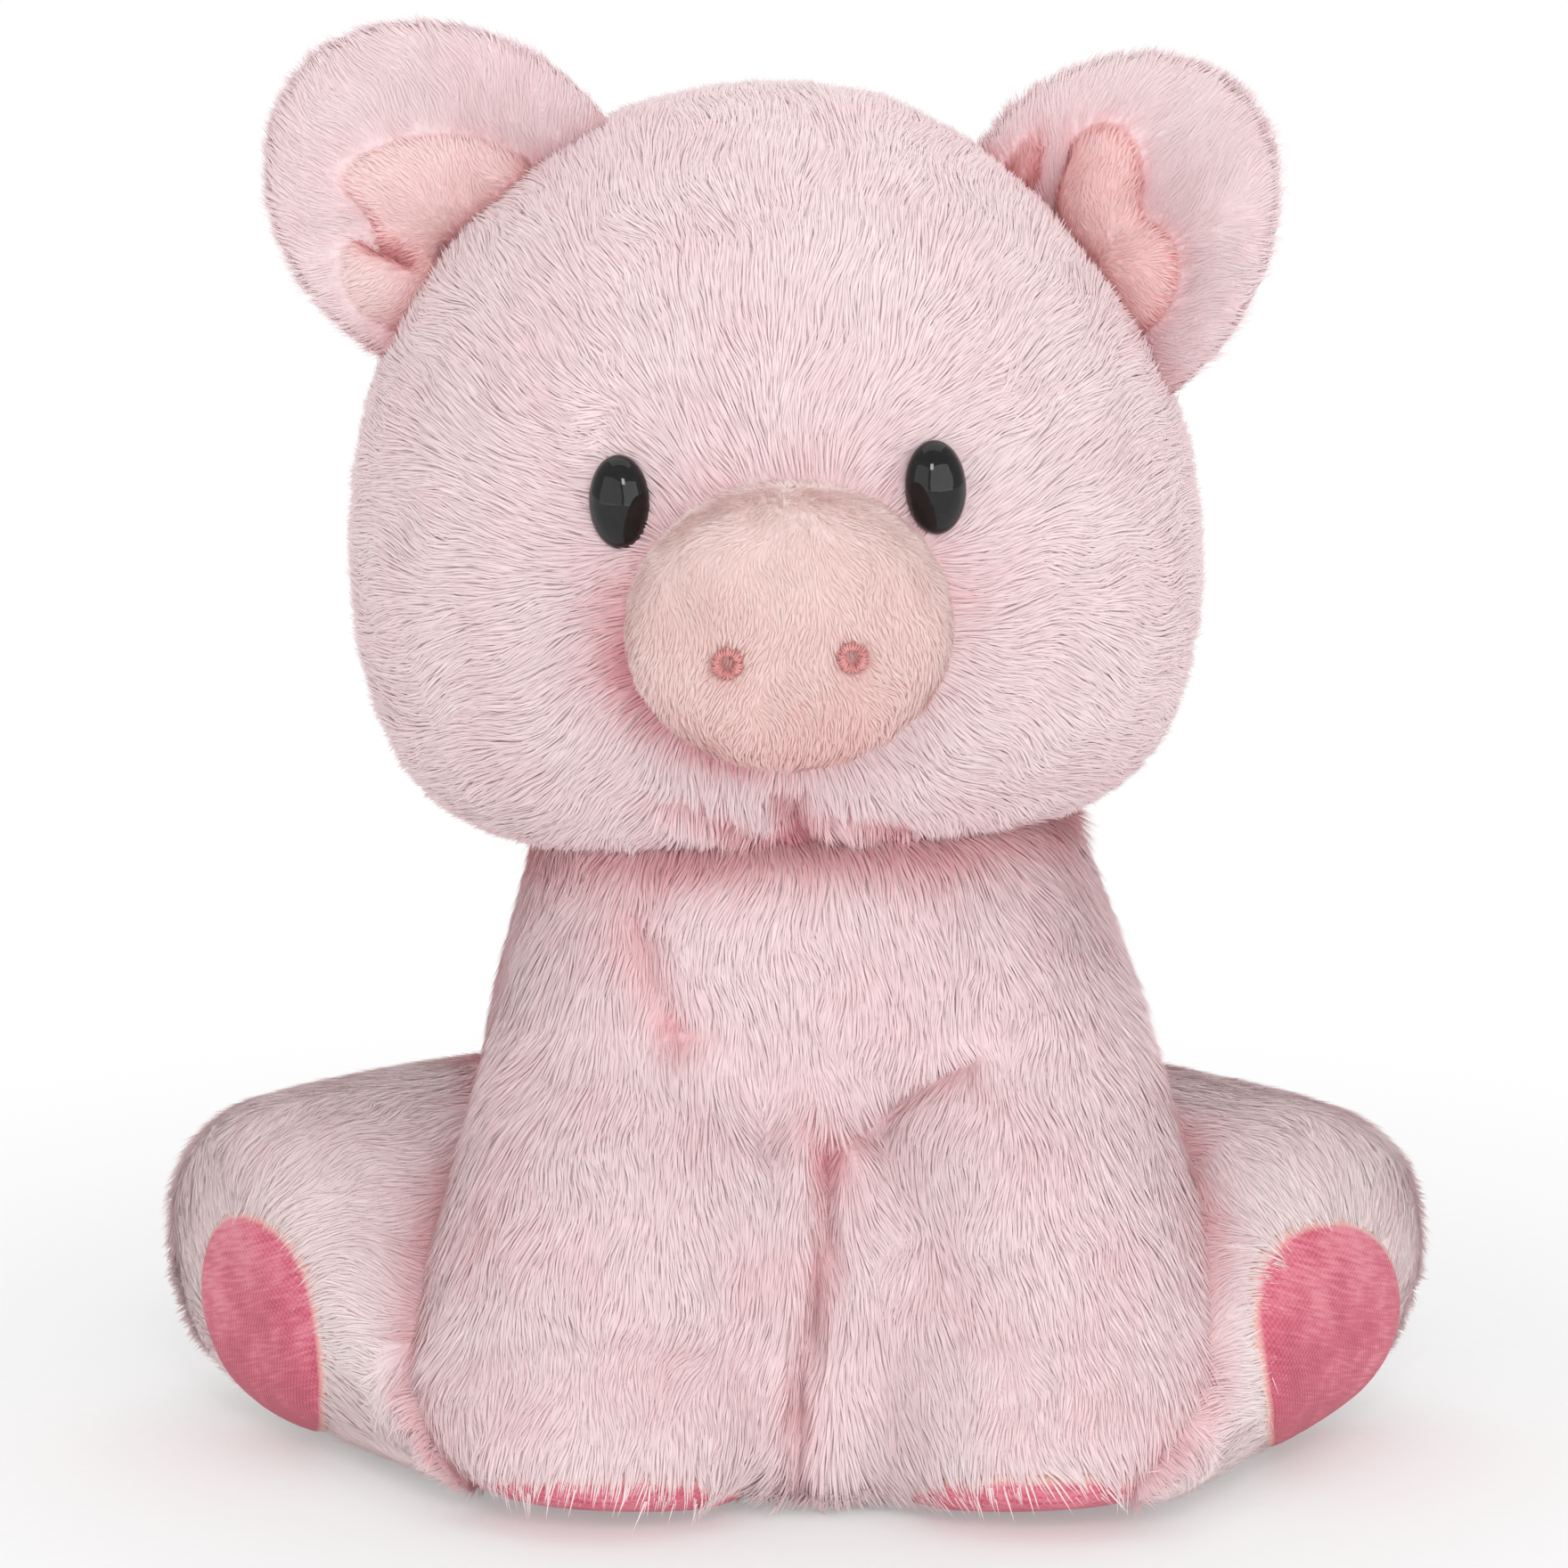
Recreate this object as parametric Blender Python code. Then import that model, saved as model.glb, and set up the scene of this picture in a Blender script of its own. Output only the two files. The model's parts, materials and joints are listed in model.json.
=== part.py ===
"""Sitting plush pig: sewn covers with their fibre filling, eyes, snout, pads, ears and tail.

Metres, +Z up. The toy sits on the floor at z = 0 and faces -Y. Left is its own left, at +X.
A cover's outer face is where the tips of its pile lie, and its wall holds backing and pile.
Every form is a round loft: a sphere whose rings follow a table of shares.
"""
import math

import bmesh
import bpy
from mathutils import Matrix, Vector
from mathutils.bvhtree import BVHTree

# Sizes shared by all pieces
GAP = 0.0003                # clearance between neighbouring pieces
MERGE = 0.00003             # points closer than this are one
FLOOR_CUT = 0.0005          # how far a form reaches below the floor before it is cut flat
PILE_WALL = 0.0050          # long-pile fabric, backing and pile together
SHORT_PILE_WALL = 0.0026    # short-pile fabric of snout and ear linings
PAD_WALL = 0.0015           # woven fabric of the soles
OVERRUN = 0.0200            # how far a cutter runs past what it cuts

# Body, a pear with a flat seat
BODY_WIDTH = 0.1200
BODY_DEPTH = 0.1120
BODY_HEIGHT = 0.1180        # up to the hidden top of the neck
BODY_X = 0.0025             # the toy leans a little to its left

# Head, wider than high, tilted sideways
HEAD_WIDTH = 0.1410
HEAD_DEPTH = 0.1200
HEAD_HEIGHT = 0.1265
HEAD_X = -0.0030
HEAD_Y = -0.0110
NECK_SINK = 0.0220          # how far the neck stands inside the head's form
HEAD_ROLL = math.radians(2.7)
NECK_HOLE_RADIUS = 0.0300
NOD_RANGE = math.radians(8.0)

# Forelegs, standing in front of the body and meeting in the middle
FORELEG_WIDTH = 0.0700
FORELEG_DEPTH = 0.0670
FORELEG_HEIGHT = 0.1000
FORELEG_SPACING = 0.0700
FORELEG_X = 0.0040
FORELEG_Y = -0.0550
PAW_PAD_WIDTH = 0.0450
PAW_PAD_LENGTH = 0.0500
PAW_PAD_FORWARD = 0.0065    # the pad's middle lies in front of the paw's middle

# Hind legs, lying out to the sides and forwards
HIND_LEG_LENGTH = 0.0680
HIND_LEG_WIDTH = 0.0680
HIND_LEG_HEIGHT = 0.0580
# For each side: how far the leg points forwards of straight out
HIND_LEG_FORWARD = {"left": math.radians(36.0), "right": math.radians(31.0)}
HIP_SPACING = 0.0720
HIP_Y = 0.0080
HIP_SEAM_SPACING = 0.1060   # the seams that the legs swing on
FOOT_PAD_WIDTH = 0.0370
FOOT_PAD_HEIGHT = 0.0370
FOOT_PAD_LIFT = 0.0210      # height of the pad's middle
FOOT_PAD_FORWARD = 0.0010   # the pad's middle lies in front of the sole's middle
FOOT_PAD_SINK = 0.0025      # how far the pad lies below the pile's tips
SWING_IN = math.radians(3.0)
SWING_OUT = math.radians(15.0)

# Snout, an oval drum with a front disc
SNOUT_WIDTH = 0.0520
SNOUT_HEIGHT = 0.0445
SNOUT_LENGTH = 0.0480       # from deep in the head to the disc's crown
SNOUT_REACH = 0.0250        # how far the crown stands in front of the face
SNOUT_X = 0.0010
SNOUT_DROP = 0.0126         # below the middle of the head's form
SNOUT_DIP = math.radians(4.0)
SNOUT_DISC_DEPTH = 0.0070
NOSTRIL_SPACING = 0.0192
NOSTRIL_DROP = 0.0012
NOSTRIL_RADIUS = 0.0026
NOSTRIL_THREAD = 0.0009

# Eyes, oval domes on a shank with a washer behind the fabric
EYE_WIDTH = 0.0098
EYE_HEIGHT = 0.0150
EYE_DOME = 0.0052
EYE_SPACING = 0.0500
EYE_LIFT = 0.0055           # above the middle of the head's form
EYE_SINK = 0.0024           # the dome's rim lies this deep in the pile
EYE_LEAN = math.radians(9.0)
SHANK_RADIUS = 0.0020
SHANK_LENGTH = 0.0095
WASHER_RADIUS = 0.0062
WASHER_THICKNESS = 0.0016
WASHER_SEAT = 0.0016        # clearance of a flat washer behind a curved wall

# Ears, cupped round flaps
EAR_WIDTH = 0.0600
EAR_HEIGHT = 0.0650
EAR_THICKNESS = 0.0170
EAR_CUP = 0.0075            # how far the ear's sides curl forwards
EAR_BASE = 0.0085           # the flap's middle stands this far outside its base line
EAR_ROOT_SINK = 0.0060      # the base line lies this deep in the head's form
EAR_Y = 0.0060              # behind the middle of the head's form
EAR_LINING_WIDTH = 0.0340
EAR_LINING_HEIGHT = 0.0300
EAR_LINING_THICKNESS = 0.0120
EAR_LINING_OUT = 0.0135     # from the base line to the lining's middle
EAR_LINING_FORWARD = 0.0065
FLOP_RANGE = math.radians(12.0)
# For each side: where round the head the base line lies and where the ear points, both from level,
# and how far the ear's front turns towards the middle
EAR_PLACE = {"left": math.radians(30.0), "right": math.radians(40.0)}
EAR_POINT = {"left": math.radians(57.0), "right": math.radians(39.0)}
EAR_TURN = {"left": math.radians(30.0), "right": math.radians(5.0)}

# Tail, one small curl behind the seat
TAIL_RADIUS = 0.0040
TAIL_CURL_RADIUS = 0.0080
TAIL_REACH = 0.0260         # how far the tail stands out of the body
TAIL_ROOT = 0.0060          # length of the straight root that is cut by the body
TAIL_STRAIGHT = 0.0030      # the tail leaves the body straight for this far
TAIL_HEIGHT = 0.0400
TAIL_TURNS = 1.15
TAIL_EASE_SHARE = 0.7           # in this share of its length the curl widens to its full radius
TAIL_END_CURL_SHARE = 0.67      # the curl's last radius, as a share of its first
TAIL_TIP_SHARE = 0.5            # the tube's radius at its tip, as a share of the root's
WAG_RANGE = math.radians(15.0)

# Weighted pouch in the seat
POUCH_WIDTH = 0.0740
POUCH_DEPTH = 0.0660
POUCH_HEIGHT = 0.0220
POUCH_WALL = 0.0008
POUCH_MOUTH_RADIUS = 0.0040

SIDES = ((1, "left"), (-1, "right"))    # the toy's own sides, and their direction along X

# Rings and sides of the forms
COVER_RINGS = 16
COVER_SIDES = 28
LIMB_RINGS = 12
LIMB_SIDES = 20
INNER_RINGS = 10
INNER_SIDES = 16
SMALL_RINGS = 8
SMALL_SIDES = 12
EYE_SIDES = 16
TORUS_SIDES = 12
TORUS_RING_SIDES = 6
TAIL_POINTS = 22

# Tables of shares. A row holds the place along the form as a share of its length, then how far the
# ring's middle lies sideways and backwards and the ring's own width and depth, as shares of half the
# form's width and depth.
BODY_SHARES = (
    (0.000, 0.0, 0.036, 0.000, 0.000),
    (0.010, 0.0, 0.036, 0.550, 0.550),
    (0.038, 0.0, 0.050, 0.780, 0.780),
    (0.097, 0.0, 0.070, 0.920, 0.920),
    (0.215, 0.0, 0.090, 1.000, 0.985),
    (0.342, 0.0, 0.070, 0.985, 1.000),
    (0.485, 0.0, 0.018, 0.930, 0.980),
    (0.620, 0.0, -0.027, 0.885, 0.885),
    (0.764, 0.0, -0.062, 0.790, 0.745),
    (0.873, 0.0, -0.080, 0.720, 0.640),
    (0.950, 0.0, -0.070, 0.580, 0.500),
    (0.987, 0.0, -0.070, 0.300, 0.270),
    (1.000, 0.0, -0.070, 0.000, 0.000),
)
HEAD_SHARES = (
    (0.000, 0.0, 0.100, 0.000, 0.000),
    (0.008, 0.0, 0.100, 0.420, 0.400),
    (0.028, 0.0, 0.090, 0.640, 0.600),
    (0.055, 0.0, 0.070, 0.770, 0.710),
    (0.095, 0.0, 0.040, 0.855, 0.795),
    (0.158, 0.0, 0.010, 0.925, 0.880),
    (0.245, 0.0, -0.010, 0.975, 0.950),
    (0.356, 0.0, -0.020, 1.000, 0.995),
    (0.474, 0.0, -0.015, 0.990, 1.000),
    (0.585, 0.0, 0.000, 0.955, 0.965),
    (0.696, 0.0, 0.010, 0.875, 0.885),
    (0.806, 0.0, 0.020, 0.745, 0.755),
    (0.897, 0.0, 0.030, 0.545, 0.560),
    (0.968, 0.0, 0.030, 0.335, 0.355),
    (0.993, 0.0, 0.030, 0.150, 0.160),
    (1.000, 0.0, 0.030, 0.000, 0.000),
)
FORELEG_SHARES = (
    (0.000, 0.00, 0.00, 0.000, 0.000),
    (0.009, 0.00, 0.00, 0.640, 0.660),
    (0.030, 0.00, 0.00, 0.830, 0.860),
    (0.075, 0.00, 0.00, 0.950, 0.960),
    (0.155, 0.00, 0.00, 1.000, 1.000),
    (0.285, 0.03, 0.15, 0.965, 0.955),
    (0.420, 0.09, 0.36, 0.880, 0.910),
    (0.570, 0.14, 0.54, 0.800, 0.880),
    (0.720, 0.18, 0.79, 0.720, 0.820),
    (0.860, 0.22, 1.06, 0.590, 0.660),
    (0.955, 0.25, 1.24, 0.340, 0.380),
    (1.000, 0.26, 1.29, 0.000, 0.000),
)
HIND_LEG_SHARES = (
    (0.000, 0.0, 0.0, 0.000, 0.000),
    (0.030, 0.0, 0.0, 0.520, 0.550),
    (0.130, 0.0, 0.0, 0.840, 0.880),
    (0.330, 0.0, 0.0, 0.980, 1.000),
    (0.580, 0.0, 0.0, 1.000, 1.000),
    (0.780, 0.0, 0.0, 0.985, 0.975),
    (0.890, 0.0, 0.0, 0.915, 0.895),
    (0.955, 0.0, 0.0, 0.770, 0.750),
    (0.990, 0.0, 0.0, 0.450, 0.440),
    (1.000, 0.0, 0.0, 0.000, 0.000),
)
SNOUT_SHARES = (
    (0.000, 0.0, 0.0, 0.00, 0.00),
    (0.050, 0.0, 0.0, 0.55, 0.55),
    (0.300, 0.0, 0.0, 0.86, 0.86),
    (0.550, 0.0, 0.0, 0.96, 0.96),
    (0.720, 0.0, 0.0, 1.00, 1.00),
    (0.840, 0.0, 0.0, 0.96, 0.96),
    (0.920, 0.0, 0.0, 0.84, 0.84),
    (0.975, 0.0, 0.0, 0.58, 0.58),
    (0.995, 0.0, 0.0, 0.28, 0.28),
    (1.000, 0.0, 0.0, 0.00, 0.00),
)
# A plain round form: a sphere that its sizes stretch
ROUND_STEPS = 8
ROUND_SHARES = tuple(
    ((1 - math.cos(math.pi * step / ROUND_STEPS)) / 2, 0.0, 0.0,
     math.sin(math.pi * step / ROUND_STEPS), math.sin(math.pi * step / ROUND_STEPS))
    for step in range(ROUND_STEPS + 1)
)

FUR = ("fur", (0.86, 0.66, 0.69, 1.0), 0.95)
SHORT_PILE = ("short_pile", (0.84, 0.58, 0.56, 1.0), 0.9)
PAD_CLOTH = ("pad_cloth", (0.62, 0.11, 0.21, 1.0), 0.7)
EYE_PLASTIC = ("eye_plastic", (0.01, 0.01, 0.01, 1.0), 0.08)
WASHER_PLASTIC = ("washer_plastic", (0.75, 0.75, 0.72, 1.0), 0.4)
THREAD = ("thread", (0.72, 0.33, 0.35, 1.0), 0.6)
FIBRE = ("fibre", (0.90, 0.90, 0.88, 1.0), 1.0)
POUCH_CLOTH = ("pouch_cloth", (0.80, 0.78, 0.72, 1.0), 0.9)
PELLETS = ("pellets", (0.70, 0.70, 0.68, 1.0), 0.5)


class Form:
    """A lofted shape: its table, its sizes, and the matrix that stands it in the toy."""

    def __init__(self, shares, width, depth, length, place, rings, sides, mirror=1):
        self.shares = shares
        self.width = width
        self.depth = depth
        self.length = length
        self.place = place
        self.rings = rings
        self.sides = sides
        self.mirror = mirror

    def ring(self, along, grow):
        """The ring at this share of the way through the table, with its surface grown outwards."""
        last = len(self.shares) - 1
        step = min(int(along * last), last - 1)
        start, end = self.shares[step], self.shares[step + 1]
        before = self.shares[step - 1] if step > 0 else self.past_end(1)
        after = self.shares[step + 2] if step + 2 <= last else self.past_end(last - 1)
        part = along * last - step
        height, side, back, wide, deep = (
            curve_value(a, b, c, d, part) for a, b, c, d in zip(before, start, end, after)
        )
        return (
            (height - 0.5) * (self.length + 2 * grow) + 0.5 * self.length,
            self.mirror * side * self.width / 2,
            back * self.depth / 2,
            max(wide, 0) * (self.width / 2 + grow),
            max(deep, 0) * (self.depth / 2 + grow),
        )

    def past_end(self, row):
        """The row beyond an end: the profile mirrored, so that the end is round."""
        height, side, back, wide, deep = self.shares[row]
        return height, side, back, -wide, -deep

    def mesh(self, grow=0.0, rings=None, sides=None):
        """The form as a bmesh in the toy's frame."""
        bm = bmesh.new()
        bmesh.ops.create_uvsphere(
            bm, u_segments=sides or self.sides, v_segments=rings or self.rings, radius=1.0
        )
        for vert in bm.verts:
            height = max(-1.0, min(1.0, vert.co.z))
            along = 1 - math.acos(height) / math.pi
            rise, side, back, wide, deep = self.ring(along, grow)
            turn = math.atan2(vert.co.y, vert.co.x)
            vert.co = (side + wide * math.cos(turn), back + deep * math.sin(turn), rise)
        bm.transform(self.place)
        bm.normal_update()
        return bm


def curve_value(before, start, end, after, part):
    """A smooth curve from start to end that also heeds the values around them."""
    return 0.5 * (
        2 * start
        + (end - before) * part
        + (2 * before - 5 * start + 4 * end - after) * part ** 2
        + (3 * start - before - 3 * end + after) * part ** 3
    )


def clear_scene():
    for obj in list(bpy.data.objects):
        bpy.data.objects.remove(obj, do_unlink=True)


def material(look):
    name, colour, roughness = look
    found = bpy.data.materials.get(name)
    if found:
        return found
    made = bpy.data.materials.new(name)
    made.use_nodes = True
    shader = made.node_tree.nodes["Principled BSDF"]
    shader.inputs["Base Color"].default_value = colour
    shader.inputs["Roughness"].default_value = roughness
    shader.inputs["Metallic"].default_value = 0.0
    made.diffuse_color = colour
    return made


def face_out(bm):
    """Turn a closed shape's faces outwards."""
    bmesh.ops.recalc_face_normals(bm, faces=bm.faces)
    if bm.calc_volume(signed=True) < 0:
        bmesh.ops.reverse_faces(bm, faces=bm.faces)


def new_object(name, bm, look, origin=Vector()):
    """An object from a bmesh in the toy's frame, with its own origin."""
    face_out(bm)
    bm.transform(Matrix.Translation(-origin))
    mesh = bpy.data.meshes.new(name)
    bm.to_mesh(mesh)
    bm.free()
    mesh.shade_smooth()
    mesh.materials.append(material(look).copy())
    obj = bpy.data.objects.new(name, mesh)
    obj.location = origin
    bpy.context.scene.collection.objects.link(obj)
    return obj


def new_cutter(name, bm):
    """A hidden object that other pieces are cut or kept by."""
    face_out(bm)
    mesh = bpy.data.meshes.new(name)
    bm.to_mesh(mesh)
    bm.free()
    obj = bpy.data.objects.new(name, mesh)
    obj.hide_render = True
    obj.display_type = "WIRE"
    bpy.context.scene.collection.objects.link(obj)
    return obj


def combine(obj, other, operation):
    step = obj.modifiers.new(f"{operation.lower()}_{other.name}", "BOOLEAN")
    step.operation = operation
    step.solver = "EXACT"
    step.object = other


def cut(obj, *cutters):
    for cutter in cutters:
        combine(obj, cutter, "DIFFERENCE")


def keep_inside(obj, *guides):
    for guide in guides:
        combine(obj, guide, "INTERSECT")


def turned(place, axis, angle):
    """The matrix that turns the toy's frame about an axis through a place."""
    spin = Matrix.Rotation(angle, 4, axis)
    return Matrix.Translation(place) @ spin @ Matrix.Translation(-place)


def sweep_cutters(name, form, place, axis, angles):
    """A neighbour's form, with clearance, turned to each of the angles about a joint's axis."""
    made = []
    for index, angle in enumerate(angles):
        bm = form.mesh(grow=GAP)
        bm.transform(turned(place, axis, angle))
        made.append(new_cutter(f"cut_{name}_{index}", bm))
    return made


def box_mesh(low, high):
    bm = bmesh.new()
    bmesh.ops.create_cube(bm, size=1.0)
    size = [b - a for a, b in zip(low, high)]
    middle = [(a + b) / 2 for a, b in zip(low, high)]
    bmesh.ops.scale(bm, vec=size, verts=bm.verts)
    bmesh.ops.translate(bm, vec=middle, verts=bm.verts)
    return bm


def oval_prism(width, depth, length, place, sides=LIMB_SIDES):
    """An oval bar along its own Z, from zero to its length, stood in the toy by a matrix."""
    bm = bmesh.new()
    bmesh.ops.create_cone(
        bm, cap_ends=True, segments=sides, radius1=width / 2, radius2=width / 2, depth=length
    )
    bmesh.ops.scale(bm, vec=(1.0, depth / width, 1.0), verts=bm.verts)
    bmesh.ops.translate(bm, vec=(0, 0, length / 2), verts=bm.verts)
    bm.transform(place)
    return bm


def frame_matrix(place, across, up):
    """A frame whose Y is up, whose X is across and whose Z is their normal."""
    out = across.cross(up).normalized()
    up = out.cross(across).normalized()
    turn = Matrix((across.normalized(), up, out)).transposed().to_4x4()
    return Matrix.Translation(place) @ turn


def hit(bm, start, direction):
    """Where a ray first meets a mesh, and the mesh's outward normal there."""
    place, normal, _, _ = BVHTree.FromBMesh(bm).ray_cast(start, direction)
    return place, normal


def body_form():
    place = Matrix.Translation((BODY_X, 0, -FLOOR_CUT))
    length = BODY_HEIGHT + FLOOR_CUT
    return Form(BODY_SHARES, BODY_WIDTH, BODY_DEPTH, length, place, COVER_RINGS, COVER_SIDES)


def head_middle():
    return Vector((HEAD_X, HEAD_Y, BODY_HEIGHT - NECK_SINK + HEAD_HEIGHT / 2))


def head_frame():
    """The head's own frame: its middle, rolled to the side."""
    return Matrix.Translation(head_middle()) @ Matrix.Rotation(-HEAD_ROLL, 4, "Y")


def head_form():
    place = head_frame() @ Matrix.Translation((0, 0, -HEAD_HEIGHT / 2))
    return Form(HEAD_SHARES, HEAD_WIDTH, HEAD_DEPTH, HEAD_HEIGHT, place, COVER_RINGS, COVER_SIDES)


def foreleg_form(side):
    place = Matrix.Translation((FORELEG_X + side * FORELEG_SPACING / 2, FORELEG_Y, -FLOOR_CUT))
    length = FORELEG_HEIGHT + FLOOR_CUT
    return Form(
        FORELEG_SHARES, FORELEG_WIDTH, FORELEG_DEPTH, length, place, LIMB_RINGS, LIMB_SIDES, -side
    )


def hind_leg_frame(side, side_name):
    """A frame at the hip whose Z runs down the leg to the sole and whose Y is up."""
    hip = Vector((side * HIP_SPACING / 2, HIP_Y, HIND_LEG_HEIGHT / 2 - FLOOR_CUT))
    forward = HIND_LEG_FORWARD[side_name]
    out = Vector((side * math.cos(forward), -math.sin(forward), 0))
    up = Vector((0, 0, 1))
    return frame_matrix(hip, up.cross(out), up)


def hind_leg_form(side, side_name):
    return Form(
        HIND_LEG_SHARES, HIND_LEG_WIDTH, HIND_LEG_HEIGHT, HIND_LEG_LENGTH,
        hind_leg_frame(side, side_name), LIMB_RINGS, LIMB_SIDES,
    )


def nod_place():
    return Vector((HEAD_X, HEAD_Y / 2, BODY_HEIGHT - NECK_SINK))


def make_cover(name, form, wall, look, origin, cutters):
    """A hollow skin: the form, less its inside, less what its neighbours cut away."""
    cover = new_object(name, form.mesh(), look, origin)
    inside = new_cutter(
        f"inside_{name}", form.mesh(grow=-wall, rings=INNER_RINGS, sides=INNER_SIDES)
    )
    cut(cover, *cutters, inside)
    return cover


def make_filling(name, form, wall, origin, cutters):
    """The fibre inside a cover, clear of its wall."""
    bm = form.mesh(grow=-wall - GAP, rings=INNER_RINGS, sides=INNER_SIDES)
    filling = new_object(name, bm, FIBRE, origin)
    cut(filling, *cutters)
    return filling


def make_pad(name, form, sink, prism, look, origin, cutters):
    """The woven sole: the strip of the form's own surface inside the pad's outline."""
    pad = new_object(name, form.mesh(grow=-sink), look, origin)
    keep_inside(pad, prism)
    inside = new_cutter(f"inside_{name}", form.mesh(grow=-sink - PAD_WALL))
    cut(pad, *cutters, inside)
    return pad


def make_body(floor):
    form = body_form()
    head = head_form()
    neck = sweep_cutters("neck", head, nod_place(), "X", (0.0, NOD_RANGE, -NOD_RANGE))
    make_cover("body_cover", form, PILE_WALL, FUR, Vector(), [floor, *neck])
    pouch_middle = Vector((BODY_X, 0, PILE_WALL - FLOOR_CUT + GAP + POUCH_HEIGHT / 2))
    pouch = Form(
        ROUND_SHARES, POUCH_WIDTH, POUCH_DEPTH, POUCH_HEIGHT,
        Matrix.Translation(pouch_middle - Vector((0, 0, POUCH_HEIGHT / 2))),
        SMALL_RINGS, SMALL_SIDES,
    )
    pocket = new_cutter("pouch_pocket", pouch.mesh(grow=GAP))
    make_filling("body_filling", form, PILE_WALL, Vector(), [*neck, pocket])
    shell = new_object("seat_pouch", pouch.mesh(), POUCH_CLOTH)
    inside = new_cutter("inside_pouch", pouch.mesh(grow=-POUCH_WALL))
    mouth = new_cutter("pouch_mouth", oval_prism(
        2 * POUCH_MOUTH_RADIUS, 2 * POUCH_MOUTH_RADIUS, POUCH_HEIGHT,
        Matrix.Translation(pouch_middle), SMALL_SIDES,
    ))
    cut(shell, inside, mouth)
    new_object("seat_pellets", pouch.mesh(grow=-POUCH_WALL - GAP), PELLETS)


def make_foreleg(side, side_name, floor):
    form = foreleg_form(side)
    body = new_cutter(f"cut_body_{side_name}", body_form().mesh(grow=GAP))
    reach = FORELEG_WIDTH + OVERRUN
    inner = -side * reach
    low = (FORELEG_X + min(side * GAP / 2, inner), -reach + FORELEG_Y, -OVERRUN)
    high = (FORELEG_X + max(side * GAP / 2, inner), reach + FORELEG_Y, FORELEG_HEIGHT + OVERRUN)
    middle = new_cutter(f"cut_middle_{side_name}", box_mesh(low, high))
    chin = sweep_cutters(
        f"chin_{side_name}", head_form(), nod_place(), "X", (0.0, NOD_RANGE, -NOD_RANGE)
    )
    sole = Matrix.Translation((
        FORELEG_X + side * FORELEG_SPACING / 2, FORELEG_Y - PAW_PAD_FORWARD, -OVERRUN / 2
    ))
    outline = new_cutter(
        f"paw_outline_{side_name}", oval_prism(PAW_PAD_WIDTH, PAW_PAD_LENGTH, OVERRUN, sole)
    )
    hole = new_cutter(f"paw_hole_{side_name}", oval_prism(
        PAW_PAD_WIDTH + 2 * GAP, PAW_PAD_LENGTH + 2 * GAP, OVERRUN, sole
    ))
    common = [body, middle, *chin]
    make_cover(
        f"foreleg_cover_{side_name}", form, PILE_WALL, FUR, Vector(), [floor, *common, hole]
    )
    make_filling(f"foreleg_filling_{side_name}", form, PILE_WALL, Vector(), common)
    make_pad(f"paw_pad_{side_name}", form, 0.0, outline, PAD_CLOTH, Vector(), [floor])


def make_hind_leg(side, side_name, floor):
    form = hind_leg_form(side, side_name)
    frame = hind_leg_frame(side, side_name)
    seam = Vector((side * HIP_SEAM_SPACING / 2, HIP_Y / 2, HIND_LEG_HEIGHT / 2))
    # Seen from the leg, its neighbours turn the other way round
    body_turns = (0.0, side * SWING_IN, -side * SWING_OUT)
    leg_turns = (0.0, side * SWING_IN)
    cutters = [
        *sweep_cutters(f"hip_{side_name}", body_form(), seam, "Z", body_turns),
        *sweep_cutters(f"elbow_{side_name}", foreleg_form(side), seam, "Z", leg_turns),
    ]
    drop = FOOT_PAD_LIFT - HIND_LEG_HEIGHT / 2
    ahead = -side * FOOT_PAD_FORWARD
    sole = frame @ Matrix.Translation((ahead, drop, HIND_LEG_LENGTH - OVERRUN))
    outline = new_cutter(
        f"foot_outline_{side_name}", oval_prism(FOOT_PAD_WIDTH, FOOT_PAD_HEIGHT, 2 * OVERRUN, sole)
    )
    hole = new_cutter(f"foot_hole_{side_name}", oval_prism(
        FOOT_PAD_WIDTH + 2 * GAP, FOOT_PAD_HEIGHT + 2 * GAP, 2 * OVERRUN, sole
    ))
    make_cover(
        f"hind_leg_cover_{side_name}", form, PILE_WALL, FUR, seam, [floor, *cutters, hole]
    )
    make_filling(f"hind_leg_filling_{side_name}", form, PILE_WALL, seam, cutters)
    make_pad(f"foot_pad_{side_name}", form, FOOT_PAD_SINK, outline, PAD_CLOTH, seam, [floor, *cutters])


def eye_frame(side, skin):
    """A frame on the face at the dome's rim: Z points out of the head, Y is the eye's own up."""
    frame = head_frame()
    start = frame @ Vector((side * EYE_SPACING / 2, -HEAD_DEPTH, EYE_LIFT))
    place, normal = hit(skin, start, frame.to_3x3() @ Vector((0, 1, 0)))
    up = frame.to_3x3() @ Vector((-side * math.sin(EYE_LEAN), 0, math.cos(EYE_LEAN)))
    return frame_matrix(place - normal * EYE_SINK, up.cross(normal), up)


def half_dome(grow, frame):
    """An oval dome with a flat back on the frame's XY plane."""
    bm = bmesh.new()
    bmesh.ops.create_uvsphere(bm, u_segments=EYE_SIDES, v_segments=SMALL_RINGS, radius=1.0)
    for vert in bm.verts:
        vert.co.x *= EYE_WIDTH / 2 + grow
        vert.co.y *= EYE_HEIGHT / 2 + grow
        vert.co.z = max(vert.co.z, 0) * (EYE_DOME + grow) - grow
    bmesh.ops.remove_doubles(bm, verts=bm.verts, dist=MERGE)
    flat = [face for face in bm.faces if all(abs(v.co.z + grow) < MERGE for v in face.verts)]
    bmesh.ops.dissolve_faces(bm, faces=flat)
    bm.transform(frame)
    return bm


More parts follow.
